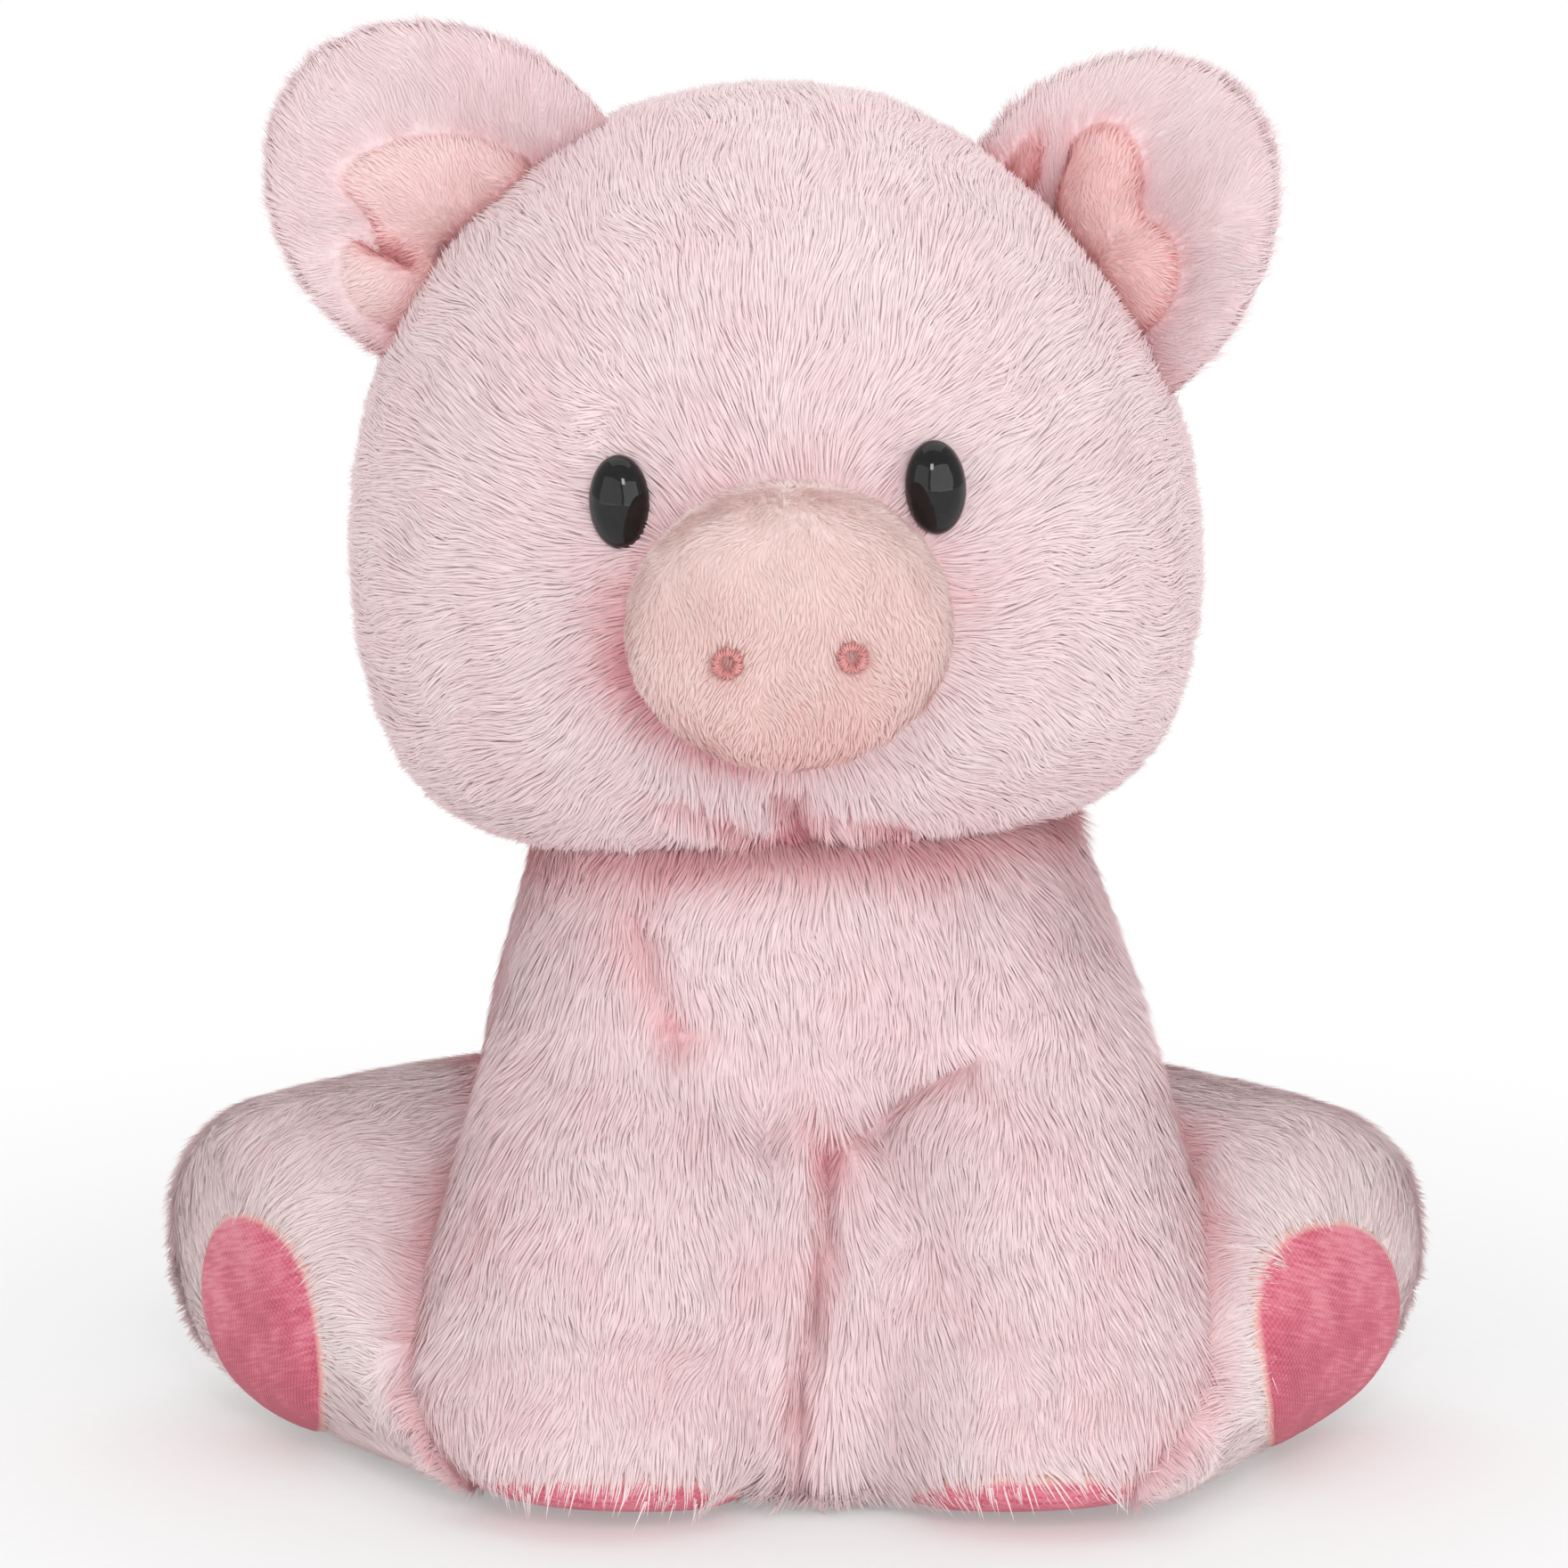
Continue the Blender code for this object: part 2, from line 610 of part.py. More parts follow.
def make_eye(side, side_name, skin, inner_skin, origin):
    """A dome with its shank and washer. Returns what the head's cover and filling lose to them."""
    frame = eye_frame(side, skin)
    out = frame.to_3x3() @ Vector((0, 0, 1))
    wall, _ = hit(inner_skin, frame @ Vector((0, 0, EYE_DOME)), -out)
    wall_depth = (wall - frame.translation).dot(out)
    washer_top = wall_depth - WASHER_SEAT
    shank = frame @ Matrix.Translation((0, 0, -SHANK_LENGTH))
    eye = new_object(f"eye_{side_name}", half_dome(0.0, frame), EYE_PLASTIC, origin)
    stem = new_cutter(f"eye_stem_{side_name}", oval_prism(
        2 * SHANK_RADIUS, 2 * SHANK_RADIUS, SHANK_LENGTH + EYE_DOME / 2, shank, SMALL_SIDES
    ))
    combine(eye, stem, "UNION")
    under = frame @ Matrix.Translation((0, 0, washer_top - WASHER_THICKNESS))
    washer = new_object(f"eye_washer_{side_name}", oval_prism(
        2 * WASHER_RADIUS, 2 * WASHER_RADIUS, WASHER_THICKNESS, under, SMALL_SIDES
    ), WASHER_PLASTIC, origin)
    loose = 2 * (SHANK_RADIUS + GAP)
    deep = shank @ Matrix.Translation((0, 0, -GAP))
    bore = new_cutter(f"shank_hole_{side_name}", oval_prism(
        loose, loose, SHANK_LENGTH + EYE_DOME / 2, deep, SMALL_SIDES
    ))
    cut(washer, bore)
    socket = new_cutter(f"eye_socket_{side_name}", half_dome(GAP, frame))
    pocket_width = 2 * (WASHER_RADIUS + GAP)
    pocket_place = under @ Matrix.Translation((0, 0, -GAP))
    pocket_length = WASHER_THICKNESS + 2 * GAP + PILE_WALL
    pocket = new_cutter(f"washer_pocket_{side_name}", oval_prism(
        pocket_width, pocket_width, pocket_length, pocket_place, SMALL_SIDES
    ))
    return [socket, bore], [bore, pocket]


def snout_frame(skin):
    """A frame inside the head whose Z runs out of the snout and whose Y is up."""
    frame = head_frame()
    start = frame @ Vector((SNOUT_X, -HEAD_DEPTH, -SNOUT_DROP))
    place, _ = hit(skin, start, frame.to_3x3() @ Vector((0, 1, 0)))
    out = frame.to_3x3() @ Vector((0, -math.cos(SNOUT_DIP), -math.sin(SNOUT_DIP)))
    across = frame.to_3x3() @ Vector((1, 0, 0))
    stand = frame_matrix(place, across, out.cross(across))
    return stand @ Matrix.Translation((0, 0, SNOUT_REACH - SNOUT_LENGTH))


def make_snout(skin, origin):
    frame = snout_frame(skin)
    form = Form(
        SNOUT_SHARES, SNOUT_WIDTH, SNOUT_HEIGHT, SNOUT_LENGTH, frame, LIMB_RINGS, LIMB_SIDES
    )
    face = new_cutter("cut_face", head_form().mesh(grow=GAP))
    seam = SNOUT_LENGTH - SNOUT_DISC_DEPTH
    wide = 2 * SNOUT_WIDTH
    front = new_cutter(
        "snout_front", oval_prism(wide, wide, OVERRUN, frame @ Matrix.Translation((0, 0, seam)))
    )
    behind = new_cutter("snout_behind", oval_prism(
        wide, wide, OVERRUN, frame @ Matrix.Translation((0, 0, seam - GAP))
    ))
    inside = new_cutter(
        "inside_snout", form.mesh(grow=-SHORT_PILE_WALL, rings=SMALL_RINGS, sides=SMALL_SIDES)
    )
    band = new_object("snout_band", form.mesh(), SHORT_PILE, origin)
    cut(band, face, behind, inside)
    disc = new_object("snout_disc", form.mesh(), SHORT_PILE, origin)
    keep_inside(disc, front)
    cut(disc, inside)
    filling = new_object(
        "snout_filling", form.mesh(grow=-SHORT_PILE_WALL - GAP, rings=SMALL_RINGS, sides=SMALL_SIDES),
        FIBRE, origin,
    )
    cut(filling, face)
    crown = form.mesh()
    for side, side_name in SIDES:
        start = frame @ Vector((side * NOSTRIL_SPACING / 2, -NOSTRIL_DROP, 2 * SNOUT_LENGTH))
        back = frame.to_3x3() @ Vector((0, 0, -1))
        place, normal = hit(crown, start, back)
        ring_frame = frame_matrix(place, frame.to_3x3() @ Vector((1, 0, 0)), normal.cross(
            frame.to_3x3() @ Vector((1, 0, 0))
        ))
        new_object(f"nostril_{side_name}", ring_mesh(0.0, ring_frame), THREAD, origin)
        groove = new_cutter(f"nostril_groove_{side_name}", ring_mesh(GAP, ring_frame))
        cut(disc, groove)
    crown.free()


def ring_mesh(grow, frame):
    """A stitched ring round the frame's Z."""
    bm = bmesh.new()
    for step in range(TORUS_SIDES):
        angle = 2 * math.pi * step / TORUS_SIDES
        spin = Matrix.Rotation(angle, 4, "Z")
        stand = Matrix.Translation((NOSTRIL_RADIUS, 0, 0)) @ Matrix.Rotation(math.pi / 2, 4, "X")
        bmesh.ops.create_circle(
            bm, segments=TORUS_RING_SIDES, radius=NOSTRIL_THREAD + grow, matrix=spin @ stand
        )
    bm.verts.ensure_lookup_table()
    for step in range(TORUS_SIDES):
        for corner in range(TORUS_RING_SIDES):
            here = step * TORUS_RING_SIDES
            there = (step + 1) % TORUS_SIDES * TORUS_RING_SIDES
            turn = (corner + 1) % TORUS_RING_SIDES
            bm.faces.new([bm.verts[index] for index in (
                here + corner, there + corner, there + turn, here + turn
            )])
    bm.transform(frame)
    return bm


def ear_frame(side, side_name):
    """A frame on the ear's base line: X runs forwards along the flap's width, Y points up the ear."""
    place = EAR_PLACE[side_name]
    point = EAR_POINT[side_name]
    frame = head_frame()
    spoke = Vector((side * math.cos(place), 0, math.sin(place)))
    middle = Vector((0, EAR_Y, 0))
    skin = head_form().mesh()
    far = frame @ (middle + spoke * HEAD_WIDTH)
    on_skin, _ = hit(skin, far, frame.to_3x3() @ -spoke)
    skin.free()
    base = on_skin - frame.to_3x3() @ spoke * EAR_ROOT_SINK
    up = frame.to_3x3() @ Vector((side * math.cos(point), 0, math.sin(point)))
    turn = EAR_TURN[side_name]
    front = frame.to_3x3() @ Vector((-side * math.sin(turn), -math.cos(turn), 0))
    return frame_matrix(base, up.cross(front), up)


def flap_mesh(width, height, thickness, cup, place, rings, sides):
    """A round flap in its frame's XY plane whose sides curl towards +Z."""
    bm = bmesh.new()
    bmesh.ops.create_uvsphere(bm, u_segments=sides, v_segments=rings, radius=1.0)
    for vert in bm.verts:
        across, out, up = vert.co
        vert.co = (
            across * width / 2,
            up * height / 2,
            -out * thickness / 2 + cup * across ** 2,
        )
    bm.transform(place)
    return bm


def make_ear(side, side_name):
    frame = ear_frame(side, side_name)
    origin = frame.translation
    flap = frame @ Matrix.Translation((0, EAR_BASE, 0))
    ear = new_object(
        f"ear_cover_{side_name}",
        flap_mesh(EAR_WIDTH, EAR_HEIGHT, EAR_THICKNESS, EAR_CUP, flap, LIMB_RINGS, LIMB_SIDES),
        FUR, origin,
    )
    axis = frame.to_3x3() @ Vector((1, 0, 0))
    head = sweep_cutters(
        f"ear_{side_name}", head_form(), origin, axis, (0.0, FLOP_RANGE, -FLOP_RANGE)
    )
    spot = frame @ Matrix.Translation((0, EAR_LINING_OUT, EAR_LINING_FORWARD))
    sizes = (EAR_LINING_WIDTH, EAR_LINING_HEIGHT, EAR_LINING_THICKNESS)
    lining = new_object(
        f"ear_lining_{side_name}", flap_mesh(*sizes, 0.0, spot, SMALL_RINGS, SMALL_SIDES),
        SHORT_PILE, origin,
    )
    roomy = [size + 2 * GAP for size in sizes]
    bed = new_cutter(
        f"lining_bed_{side_name}", flap_mesh(*roomy, 0.0, spot, SMALL_RINGS, SMALL_SIDES)
    )
    cut(lining, *head)
    cut(ear, *head, bed)


def make_head():
    form = head_form()
    origin = nod_place()
    skin = form.mesh()
    inner_skin = form.mesh(grow=-PILE_WALL, rings=INNER_RINGS, sides=INNER_SIDES)
    neck_hole = new_cutter("neck_hole", oval_prism(
        2 * NECK_HOLE_RADIUS, 2 * NECK_HOLE_RADIUS, 2 * OVERRUN,
        Matrix.Translation(origin - Vector((0, 0, OVERRUN))),
    ))
    cover_cuts, filling_cuts = [neck_hole], []
    for side, side_name in SIDES:
        from_cover, from_filling = make_eye(side, side_name, skin, inner_skin, origin)
        cover_cuts += from_cover
        filling_cuts += from_filling
    make_cover("head_cover", form, PILE_WALL, FUR, origin, cover_cuts)
    make_filling("head_filling", form, PILE_WALL, origin, filling_cuts)
    make_snout(skin, origin)
    skin.free()
    inner_skin.free()


def make_tail():
    """A tube that leaves the body straight and then makes one turn, thinner to its tip."""
    skin = body_form().mesh()
    root, _ = hit(skin, Vector((BODY_X, BODY_DEPTH, TAIL_HEIGHT)), Vector((0, -1, 0)))
    skin.free()
    curve = bpy.data.curves.new("tail", "CURVE")
    curve.dimensions = "3D"
    curve.bevel_depth = TAIL_RADIUS
    curve.bevel_resolution = 2
    curve.use_fill_caps = True
    line = curve.splines.new("POLY")
    line.points.add(TAIL_POINTS + 1)
    line.points[0].co = (0, -TAIL_ROOT, 0, 1)
    for step in range(TAIL_POINTS + 1):
        along = step / TAIL_POINTS
        angle = 2 * math.pi * TAIL_TURNS * along
        ease = min(1, along / TAIL_EASE_SHARE)
        curl = TAIL_CURL_RADIUS * (1 + (TAIL_END_CURL_SHARE - 1) * along) * ease ** 2 * (3 - 2 * ease)
        line.points[step + 1].co = (
            curl * math.sin(angle),
            TAIL_STRAIGHT + (TAIL_REACH - TAIL_STRAIGHT) * along,
            curl * (1 - math.cos(angle)),
            1,
        )
        line.points[step + 1].radius = 1 + (TAIL_TIP_SHARE - 1) * along
    path = bpy.data.objects.new("tail_path", curve)
    bm = bmesh.new()
    bm.from_mesh(bpy.data.meshes.new_from_object(path))
    bpy.data.objects.remove(path, do_unlink=True)
    bmesh.ops.remove_doubles(bm, verts=bm.verts, dist=MERGE)
    bm.transform(Matrix.Translation(root))
    tail = new_object("tail", bm, FUR, root)
    cut(tail, *sweep_cutters("tail", body_form(), root, "Z", (0.0, WAG_RANGE, -WAG_RANGE)))


def main():
    clear_scene()
    reach = BODY_WIDTH + HEAD_WIDTH
    floor = new_cutter("floor", box_mesh((-reach, -reach, -OVERRUN), (reach, reach, 0.0)))
    make_body(floor)
    make_head()
    for side, side_name in SIDES:
        make_foreleg(side, side_name, floor)
        make_hind_leg(side, side_name, floor)
        make_ear(side, side_name)
    make_tail()


main()
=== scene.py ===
"""Looks of the sitting plush pig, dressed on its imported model.

Metres, +Z up. The toy faces -Y, and its own left is +X. A cloth is the backing that a cover is sewn
from. It lies under the cover's outer face, where the tips of the pile end, and the fur grows on it.
"""
import json
import math

import bmesh
import bpy
import numpy as np
from mathutils import Matrix, Vector
from mathutils.bvhtree import BVHTree
from mathutils.kdtree import KDTree


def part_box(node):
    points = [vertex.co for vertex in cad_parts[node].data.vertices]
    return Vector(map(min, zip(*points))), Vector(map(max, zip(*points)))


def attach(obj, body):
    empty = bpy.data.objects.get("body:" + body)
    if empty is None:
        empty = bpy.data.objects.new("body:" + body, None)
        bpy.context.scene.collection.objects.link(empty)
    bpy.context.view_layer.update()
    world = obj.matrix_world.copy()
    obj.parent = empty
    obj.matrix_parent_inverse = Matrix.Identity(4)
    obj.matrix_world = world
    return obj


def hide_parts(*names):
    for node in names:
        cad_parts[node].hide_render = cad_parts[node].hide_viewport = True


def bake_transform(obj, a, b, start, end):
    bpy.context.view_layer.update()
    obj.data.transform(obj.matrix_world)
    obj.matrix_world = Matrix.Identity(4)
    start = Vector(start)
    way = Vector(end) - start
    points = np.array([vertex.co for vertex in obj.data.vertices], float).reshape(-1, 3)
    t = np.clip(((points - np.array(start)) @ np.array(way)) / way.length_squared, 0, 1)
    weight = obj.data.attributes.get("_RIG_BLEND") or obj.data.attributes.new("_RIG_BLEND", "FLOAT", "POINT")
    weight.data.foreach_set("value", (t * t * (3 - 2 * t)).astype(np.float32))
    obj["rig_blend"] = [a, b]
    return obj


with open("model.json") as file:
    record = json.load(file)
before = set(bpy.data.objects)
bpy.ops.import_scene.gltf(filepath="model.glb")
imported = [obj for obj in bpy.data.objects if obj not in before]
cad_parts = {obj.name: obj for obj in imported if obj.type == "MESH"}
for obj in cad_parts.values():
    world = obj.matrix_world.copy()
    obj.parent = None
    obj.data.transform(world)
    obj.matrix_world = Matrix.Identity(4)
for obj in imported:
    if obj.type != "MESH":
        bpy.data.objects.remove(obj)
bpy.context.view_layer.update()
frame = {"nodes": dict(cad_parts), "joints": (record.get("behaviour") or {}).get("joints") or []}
joints = {joint["name"]: joint for joint in frame["joints"]}
SIDES = ("left", "right")
UP = np.array([0.0, 0.0, 1.0])
BACK = np.array([0.0, 1.0, 0.0])

# Long pile
PILE = 0.0015               # the cloth lies this deep under the tips
STRAND_LENGTH = 0.0075
STRAND_WIDTH = 0.00030
STRANDS_PER_AREA = 3.6e6
TUFT_SPACING = 0.0040
HAIR_BEND = 0.4             # a hair bends at this share of its length
HAIR_REACH = 0.9            # and lies this far along, as a share of its length
HAIR_BEND_RISE = 0.28       # how high its bend and its tip stand, as shares of its rise
HAIR_TIP_RISE = 0.57

# Tones run from 0, deep, to 1, pale
MIDDLE_TONE = 0.64
PATCH_RANGE = 0.44
PATCHES_PER_METRE = 70.0
TUFT_TONES = 0.06           # how far one tuft differs from the next

# Short pile of snout, ear linings and tail
SHORT_PILE = 0.0009
SHORT_LENGTH = 0.0024
SHORT_WIDTH = 0.00024
SHORT_PER_AREA = 3.8e6

GROUND = 0.0003             # nothing reaches lower than this
VOXEL = 0.0020
FINE_VOXEL = 0.0012

# Body, forelegs and hind legs
NECK_SIZE = (0.0420, 0.0400, 0.0100)
NECK_SHIFT = (0.0020, -0.0080, 0.0060)      # from the place that the head nods about
NECK_FOOT = 0.066           # the neck's taper starts at this height
FORELEGS_MEET = 0.0040      # the forelegs touch at this place across
FORELEG_BRIDGE = 0.014      # and are joined this far to each side of it
BRIDGE_LEGS_TOP = 0.055     # the join's height on the forelegs
BRIDGE_TOP = 0.069          # and where it ends on the chest
PAW_CORNER = 0.030          # farther out than this from where they meet, the paws' corners are lifted
PAW_CORNER_TOP = 0.030      # below this height
PAW_CORNER_BACK = -0.040    # and in front of this place
PAW_ROUNDING = 5.0          # metres up for each square metre out
PAW_FRINGE_TOP = 0.022      # the fur is fuller below this height
PAW_FRINGE_BACK = -0.050    # and in front of this place
HIP_OVERLAP = 0.014         # how far a hind leg's cloth runs into the body
PAW_SIDE = 0.052            # a hind leg's cloth runs down to the foreleg's side, from here outwards
PAW_SIDE_TOP = 0.016        # and below this height
LEG_REACH = {"left": 0.0042, "right": 0.0024}      # how much fuller the feet are than their covers
SHOWN_FRONT = -0.012        # a swing shows the leg's cloth in front of this place
SHOWN_DEPTH = 0.020         # up to this deep in the body
NECK_BEND = (0.074, 0.102)  # the neck's cloth bends between these heights
HIP_BEND = (-0.004, 0.012)  # and a hip's between these places, from its pivot outwards
WADDING_GAP = 0.0065        # a hind leg's fibre stays this far from the body's cloth

# Each ear in its own frame: X across it, Y up it from the head, Z out of its front
EAR_UP = {"left": (0.50453, 0.0, 0.8634), "right": (-0.80593, 0.0, 0.59201)}
EAR_HALF = {"left": (0.0278, 0.0318, 0.0100), "right": (0.0285, 0.0340, 0.0100)}
EAR_MIDDLE = {"left": (0.0034, 0.0080), "right": (0.0026, 0.0095)}
EAR_CUP = 0.0075            # how far the sides curl forwards
EAR_DISH = 0.0075           # the hollow that the lining lies in
EAR_BEND = (-0.002, 0.008)  # the cloth bends between these places, from the joint upwards
LINING_DEPTH = 0.0030       # the lining's back lies this far behind the ear's middle

# Head, eyes and snout
HEAD_SHIFT = -0.0012        # the cloth sits this far to the toy's right of its cover
EAR_ROOT_DENT = 0.0030      # the head is drawn in where its left ear is sewn on
EAR_ROOT_REACH = 0.020
EYE_DENT = 0.0012
EYE_BARE = 0.0034           # no fur grows this close to an eye's middle
SHANK_RADIUS = 0.0020
SHANK_RIDGES = 6
RIDGE_PITCH = 0.0009
EYE_RIM = 0.0012
DOME_STEPS = 20
EYE_SPOKES = 56
SNOUT_BARE = 0.020          # no head fur grows this close to the snout's middle
SNOUT_OVERLAP = 0.006       # how far the snout's cloth runs into the head
NOSTRIL_DENT = 0.0010
SNOUT_SHADED_SIDE = (-0.66, 0.0, -0.75)    # the side of the snout, low and towards the toy's right, where the painted shade along its seam is deepest

# The lining's puffs: middle, half sizes and turn
EAR_PUFFS = {
    "right": [
        ((0.0022, 0.0135, 0.0024), (0.0105, 0.0190, 0.0084), 38.0),
        ((-0.0136, 0.0106, 0.0036), (0.0094, 0.0116, 0.0090), -10.0),
    ],
    "left": [
        ((-0.0038, 0.0130, 0.0022), (0.0092, 0.0130, 0.0086), 12.0),
        ((0.0105, 0.0035, 0.0020), (0.0108, 0.0108, 0.0078), 20.0),
        ((-0.0152, 0.0090, 0.0034), (0.0056, 0.0120, 0.0064), 0.0),
    ],
}
# Painted shade along the seam between each ear's lining and its back, as strengths
LINING_SEAM_SHADE = {"right": 0.10, "left": 0.32}
LINING_TONE = {"right": 0.20, "left": 0.00}
EAR_FOLDS = {
    "right": [(-0.0085, 0.0235), (-0.0100, 0.0165), (-0.0084, 0.0105), (-0.0066, 0.0050)],
    "left": [(-0.0123, 0.0200), (-0.0109, 0.0137), (-0.0083, 0.0060)],
}

# Places along the front as (x, z), with the crease's half width and its depth
BODY_CREASES = {
    "chest": ([(-0.0262, 0.0935), (-0.0225, 0.0810), (-0.0200, 0.0760)], 0.0022, 0.0014),
    "chest_dimple": ([(-0.0200, 0.0760), (-0.0150, 0.0755)], 0.0018, 0.0008),
    "arm": ([(0.0275, 0.0712), (0.0148, 0.0632), (0.0091, 0.0595), (0.0050, 0.0566)], 0.0012, 0.0020),
    "arm_short": ([(0.0020, 0.0610), (0.0050, 0.0566)], 0.0012, 0.0012),
    "pit": ([(0.0050, 0.0568), (0.0047, 0.0550)], 0.0016, 0.0030),
    "between": ([(0.0048, 0.0560), (0.0041, 0.0454), (0.0027, 0.0337), (0.0003, 0.0161), (0.0013, 0.0043)],
                0.0016, 0.0030),
}
CHIN_CREASES = {
    "notch": ([(-0.0015, 0.1165), (-0.0008, 0.1105), (0.0013, 0.1065)], 0.0020, 0.0030),
    "fold_right": ([(-0.0190, 0.1145), (-0.0120, 0.1115)], 0.0018, 0.0016),
    "fold_left": ([(0.0030, 0.1120), (0.0100, 0.1105), (0.0160, 0.1075)], 0.0018, 0.0018),
    "pucker": ([(-0.0090, 0.1085), (-0.0020, 0.1070)], 0.0018, 0.0018),
}

# The pads under the forefeet, and the soles of the hind feet
PAW_TILT = 38.0
PAW_SET_BACK = 0.0160
PAW_LIFT = 0.0040
PAW_HALF_LENGTH = 0.0170
PAD_THICKNESS = 0.0016
PAD_TURN = 18.0
PAD_SLIM = {"left": 1.42, "right": 1.12}           # a sole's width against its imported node's
PAD_TALL = 0.98                                    # and its height
PAD_SHIFT = 0.0015          # how far a hind sole is sewn in from the leg's middle
PAD_FORWARD = {"left": 0.0078, "right": 0.0086}    # how far it lies round to the leg's front
PAD_LIFT = 0.0030
PAD_FRINGE = 0.0018         # fur grows this far in over its front edge
PAD_RINGS = 16
PAD_SPOKES = 72
PAD_SEARCH = 0.030          # a pad is laid on cloth within this of its plane
PAD_NEAR = 0.020
WEAVE_PITCH = 0.00110
PALER_UP_PAD = 7.0           # a pad turns paler towards its top, by this much a metre

POUCH_PUCKERS = 30

FUR_DEEP = (0.720, 0.270, 0.320, 1.0)
FUR_ROSE = (0.890, 0.575, 0.600, 1.0)
FUR_PINK = (0.900, 0.715, 0.735, 1.0)
FUR_PALE = (0.915, 0.815, 0.815, 1.0)
FUR_FROST = (0.905, 0.775, 0.775, 1.0)
PEACH_DEEP = (0.740, 0.330, 0.320, 1.0)
PEACH_ROSE = (0.780, 0.505, 0.485, 1.0)
PEACH = (0.855, 0.655, 0.630, 1.0)
PEACH_PALE = (0.900, 0.755, 0.730, 1.0)
PEACH_FROST = (0.880, 0.735, 0.705, 1.0)
LINING_DEEP = (0.660, 0.250, 0.250, 1.0)
LINING_ROSE = (0.860, 0.480, 0.480, 1.0)
LINING = (0.920, 0.660, 0.655, 1.0)
LINING_PALE = (0.935, 0.800, 0.785, 1.0)
PAD_ROSE = (0.470, 0.035, 0.090, 1.0)
PAD_BRIGHT = (0.630, 0.085, 0.160, 1.0)
PAD_PALEST = (0.780, 0.230, 0.300, 1.0)
PAD_RIDGE_HIGHLIGHT = (0.860, 0.340, 0.400, 1.0)
PAD_SEAM = (0.900, 0.560, 0.480, 1.0)
THREAD_ROSE = (0.790, 0.390, 0.370, 1.0)
EYE_BLACK = (0.006, 0.005, 0.005, 1.0)
EYE_DUST = (0.016, 0.014, 0.014, 1.0)
SHEEN = {"Sheen_Weight": 0.12, "Sheen_Roughness": 0.5, "Specular_IOR_Level": 0.3}
SHEEN_TINT = (1.0, 0.90, 0.86, 1.0)

# Studio. Each lamp: place, target, size and power
WORLD_LIGHT = 0.57
LAMPS = {
    "key": ((0.06, -1.25, 0.86), (0, 0, 0.12), 0.26, 2.4),
    "front": ((0.85, -1.40, 0.12), (0, 0, 0.08), 2.0, 18.0),
    "top": ((0.0, 0.35, 1.20), (0, 0, 0.10), 1.6, 6.0),
    "fill": ((-1.00, -1.20, 0.16), (0, 0, 0.08), 1.8, 8.0),
}
SHADOW_FADE = (0.09, 0.28)          # the floor turns white between these distances
SENSOR = 36.0
CAMERA_PLACE = (-0.0022, -1.2866, 0.3776)
CAMERA_TILT = 78.0
CAMERA_DISTANCE = 1.3
PICTURE_WIDTH = 0.2570128           # what the picture shows at the toy


def add(tree, kind, values=None, **settings):
    """A new node with its settings, and its sockets set to values or linked to other nodes' sockets."""
    node = tree.nodes.new(kind)
    for name, value in settings.items():
        setattr(node, name, value)
    for key, value in (values or {}).items():
        if isinstance(value, bpy.types.NodeSocket):
            tree.links.new(value, node.inputs[key])
        else:
            node.inputs[key].default_value = value
    return node


def maths(tree, operation, *values, clamp=False):
    node = add(tree, "ShaderNodeMath", dict(enumerate(values)), operation=operation, use_clamp=clamp)
    return node.outputs[0]


def vector_maths(tree, operation, *values):
    keys = (0, "Scale") if operation == "SCALE" else range(len(values))
    node = add(tree, "ShaderNodeVectorMath", dict(zip(keys, values)), operation=operation)
    return node.outputs["Value" if operation in ("DOT_PRODUCT", "LENGTH") else "Vector"]


def parts_of(tree, vector):
    return add(tree, "ShaderNodeSeparateXYZ", {"Vector": vector}).outputs


def vector_of(tree, **parts):
    return add(tree, "ShaderNodeCombineXYZ", parts).outputs[0]


def shake_of(tree, colour, size):
    """A small move in any direction, read from a random colour."""
    return vector_maths(tree, "SCALE", vector_maths(tree, "SUBTRACT", colour, (0.5, 0.5, 0.5)), size)


def ramp(tree, value, *stops):
    """A colour for each value, through stops of (place, colour)."""
    node = add(tree, "ShaderNodeValToRGB", {"Fac": value})
    line = node.color_ramp
    line.elements[0].position, line.elements[0].color = stops[0]
    line.elements[1].position, line.elements[1].color = stops[-1]
    for place, colour in stops[1:-1]:
        line.elements.new(place).color = colour
    return node.outputs["Color"]


def mixed(tree, share, first, second, kind="MIX"):
    return add(tree, "ShaderNodeMix", {0: share, 6: first, 7: second}, data_type="RGBA", blend_type=kind).outputs[2]


def noise(tree, place, scale, detail=2.0, roughness=0.5):
    values = {"Vector": place, "Scale": scale, "Detail": detail, "Roughness": roughness}
    return add(tree, "ShaderNodeTexNoise", values).outputs


def patches(tree, place):
    """Soft patches of deeper and paler pile, as a change of tone."""
    spots = noise(tree, place, PATCHES_PER_METRE, 4.0)["Fac"]
    return maths(tree, "MULTIPLY_ADD", spots, PATCH_RANGE, -PATCH_RANGE / 2)


def node_tree(name, kind, inputs, output):
    """A node group with inputs of (name, kind, value) and one output, and its inputs to link from."""
    tree = bpy.data.node_groups.new(name, kind)
    if kind == "GeometryNodeTree":
        tree.is_modifier = True
    for label, socket_kind, *value in inputs:
        made = tree.interface.new_socket(label, in_out="INPUT", socket_type=f"NodeSocket{socket_kind}")
        if value:
            made.default_value = value[0]
    label, socket_kind = output
    tree.interface.new_socket(label, in_out="OUTPUT", socket_type=f"NodeSocket{socket_kind}")
    return tree, add(tree, "NodeGroupInput").outputs


def new_material(name, **constants):
    """A material with a Principled shader, whose constant values are set on its sockets."""
    made = bpy.data.materials.new(name)
    made.use_nodes = True
    tree = made.node_tree
    shader = tree.nodes["Principled BSDF"]
    for key, value in constants.items():
        shader.inputs[key.replace("_", " ")].default_value = value
    return made, tree, shader


def object_place(tree):
    return add(tree, "ShaderNodeTexCoord").outputs["Object"]


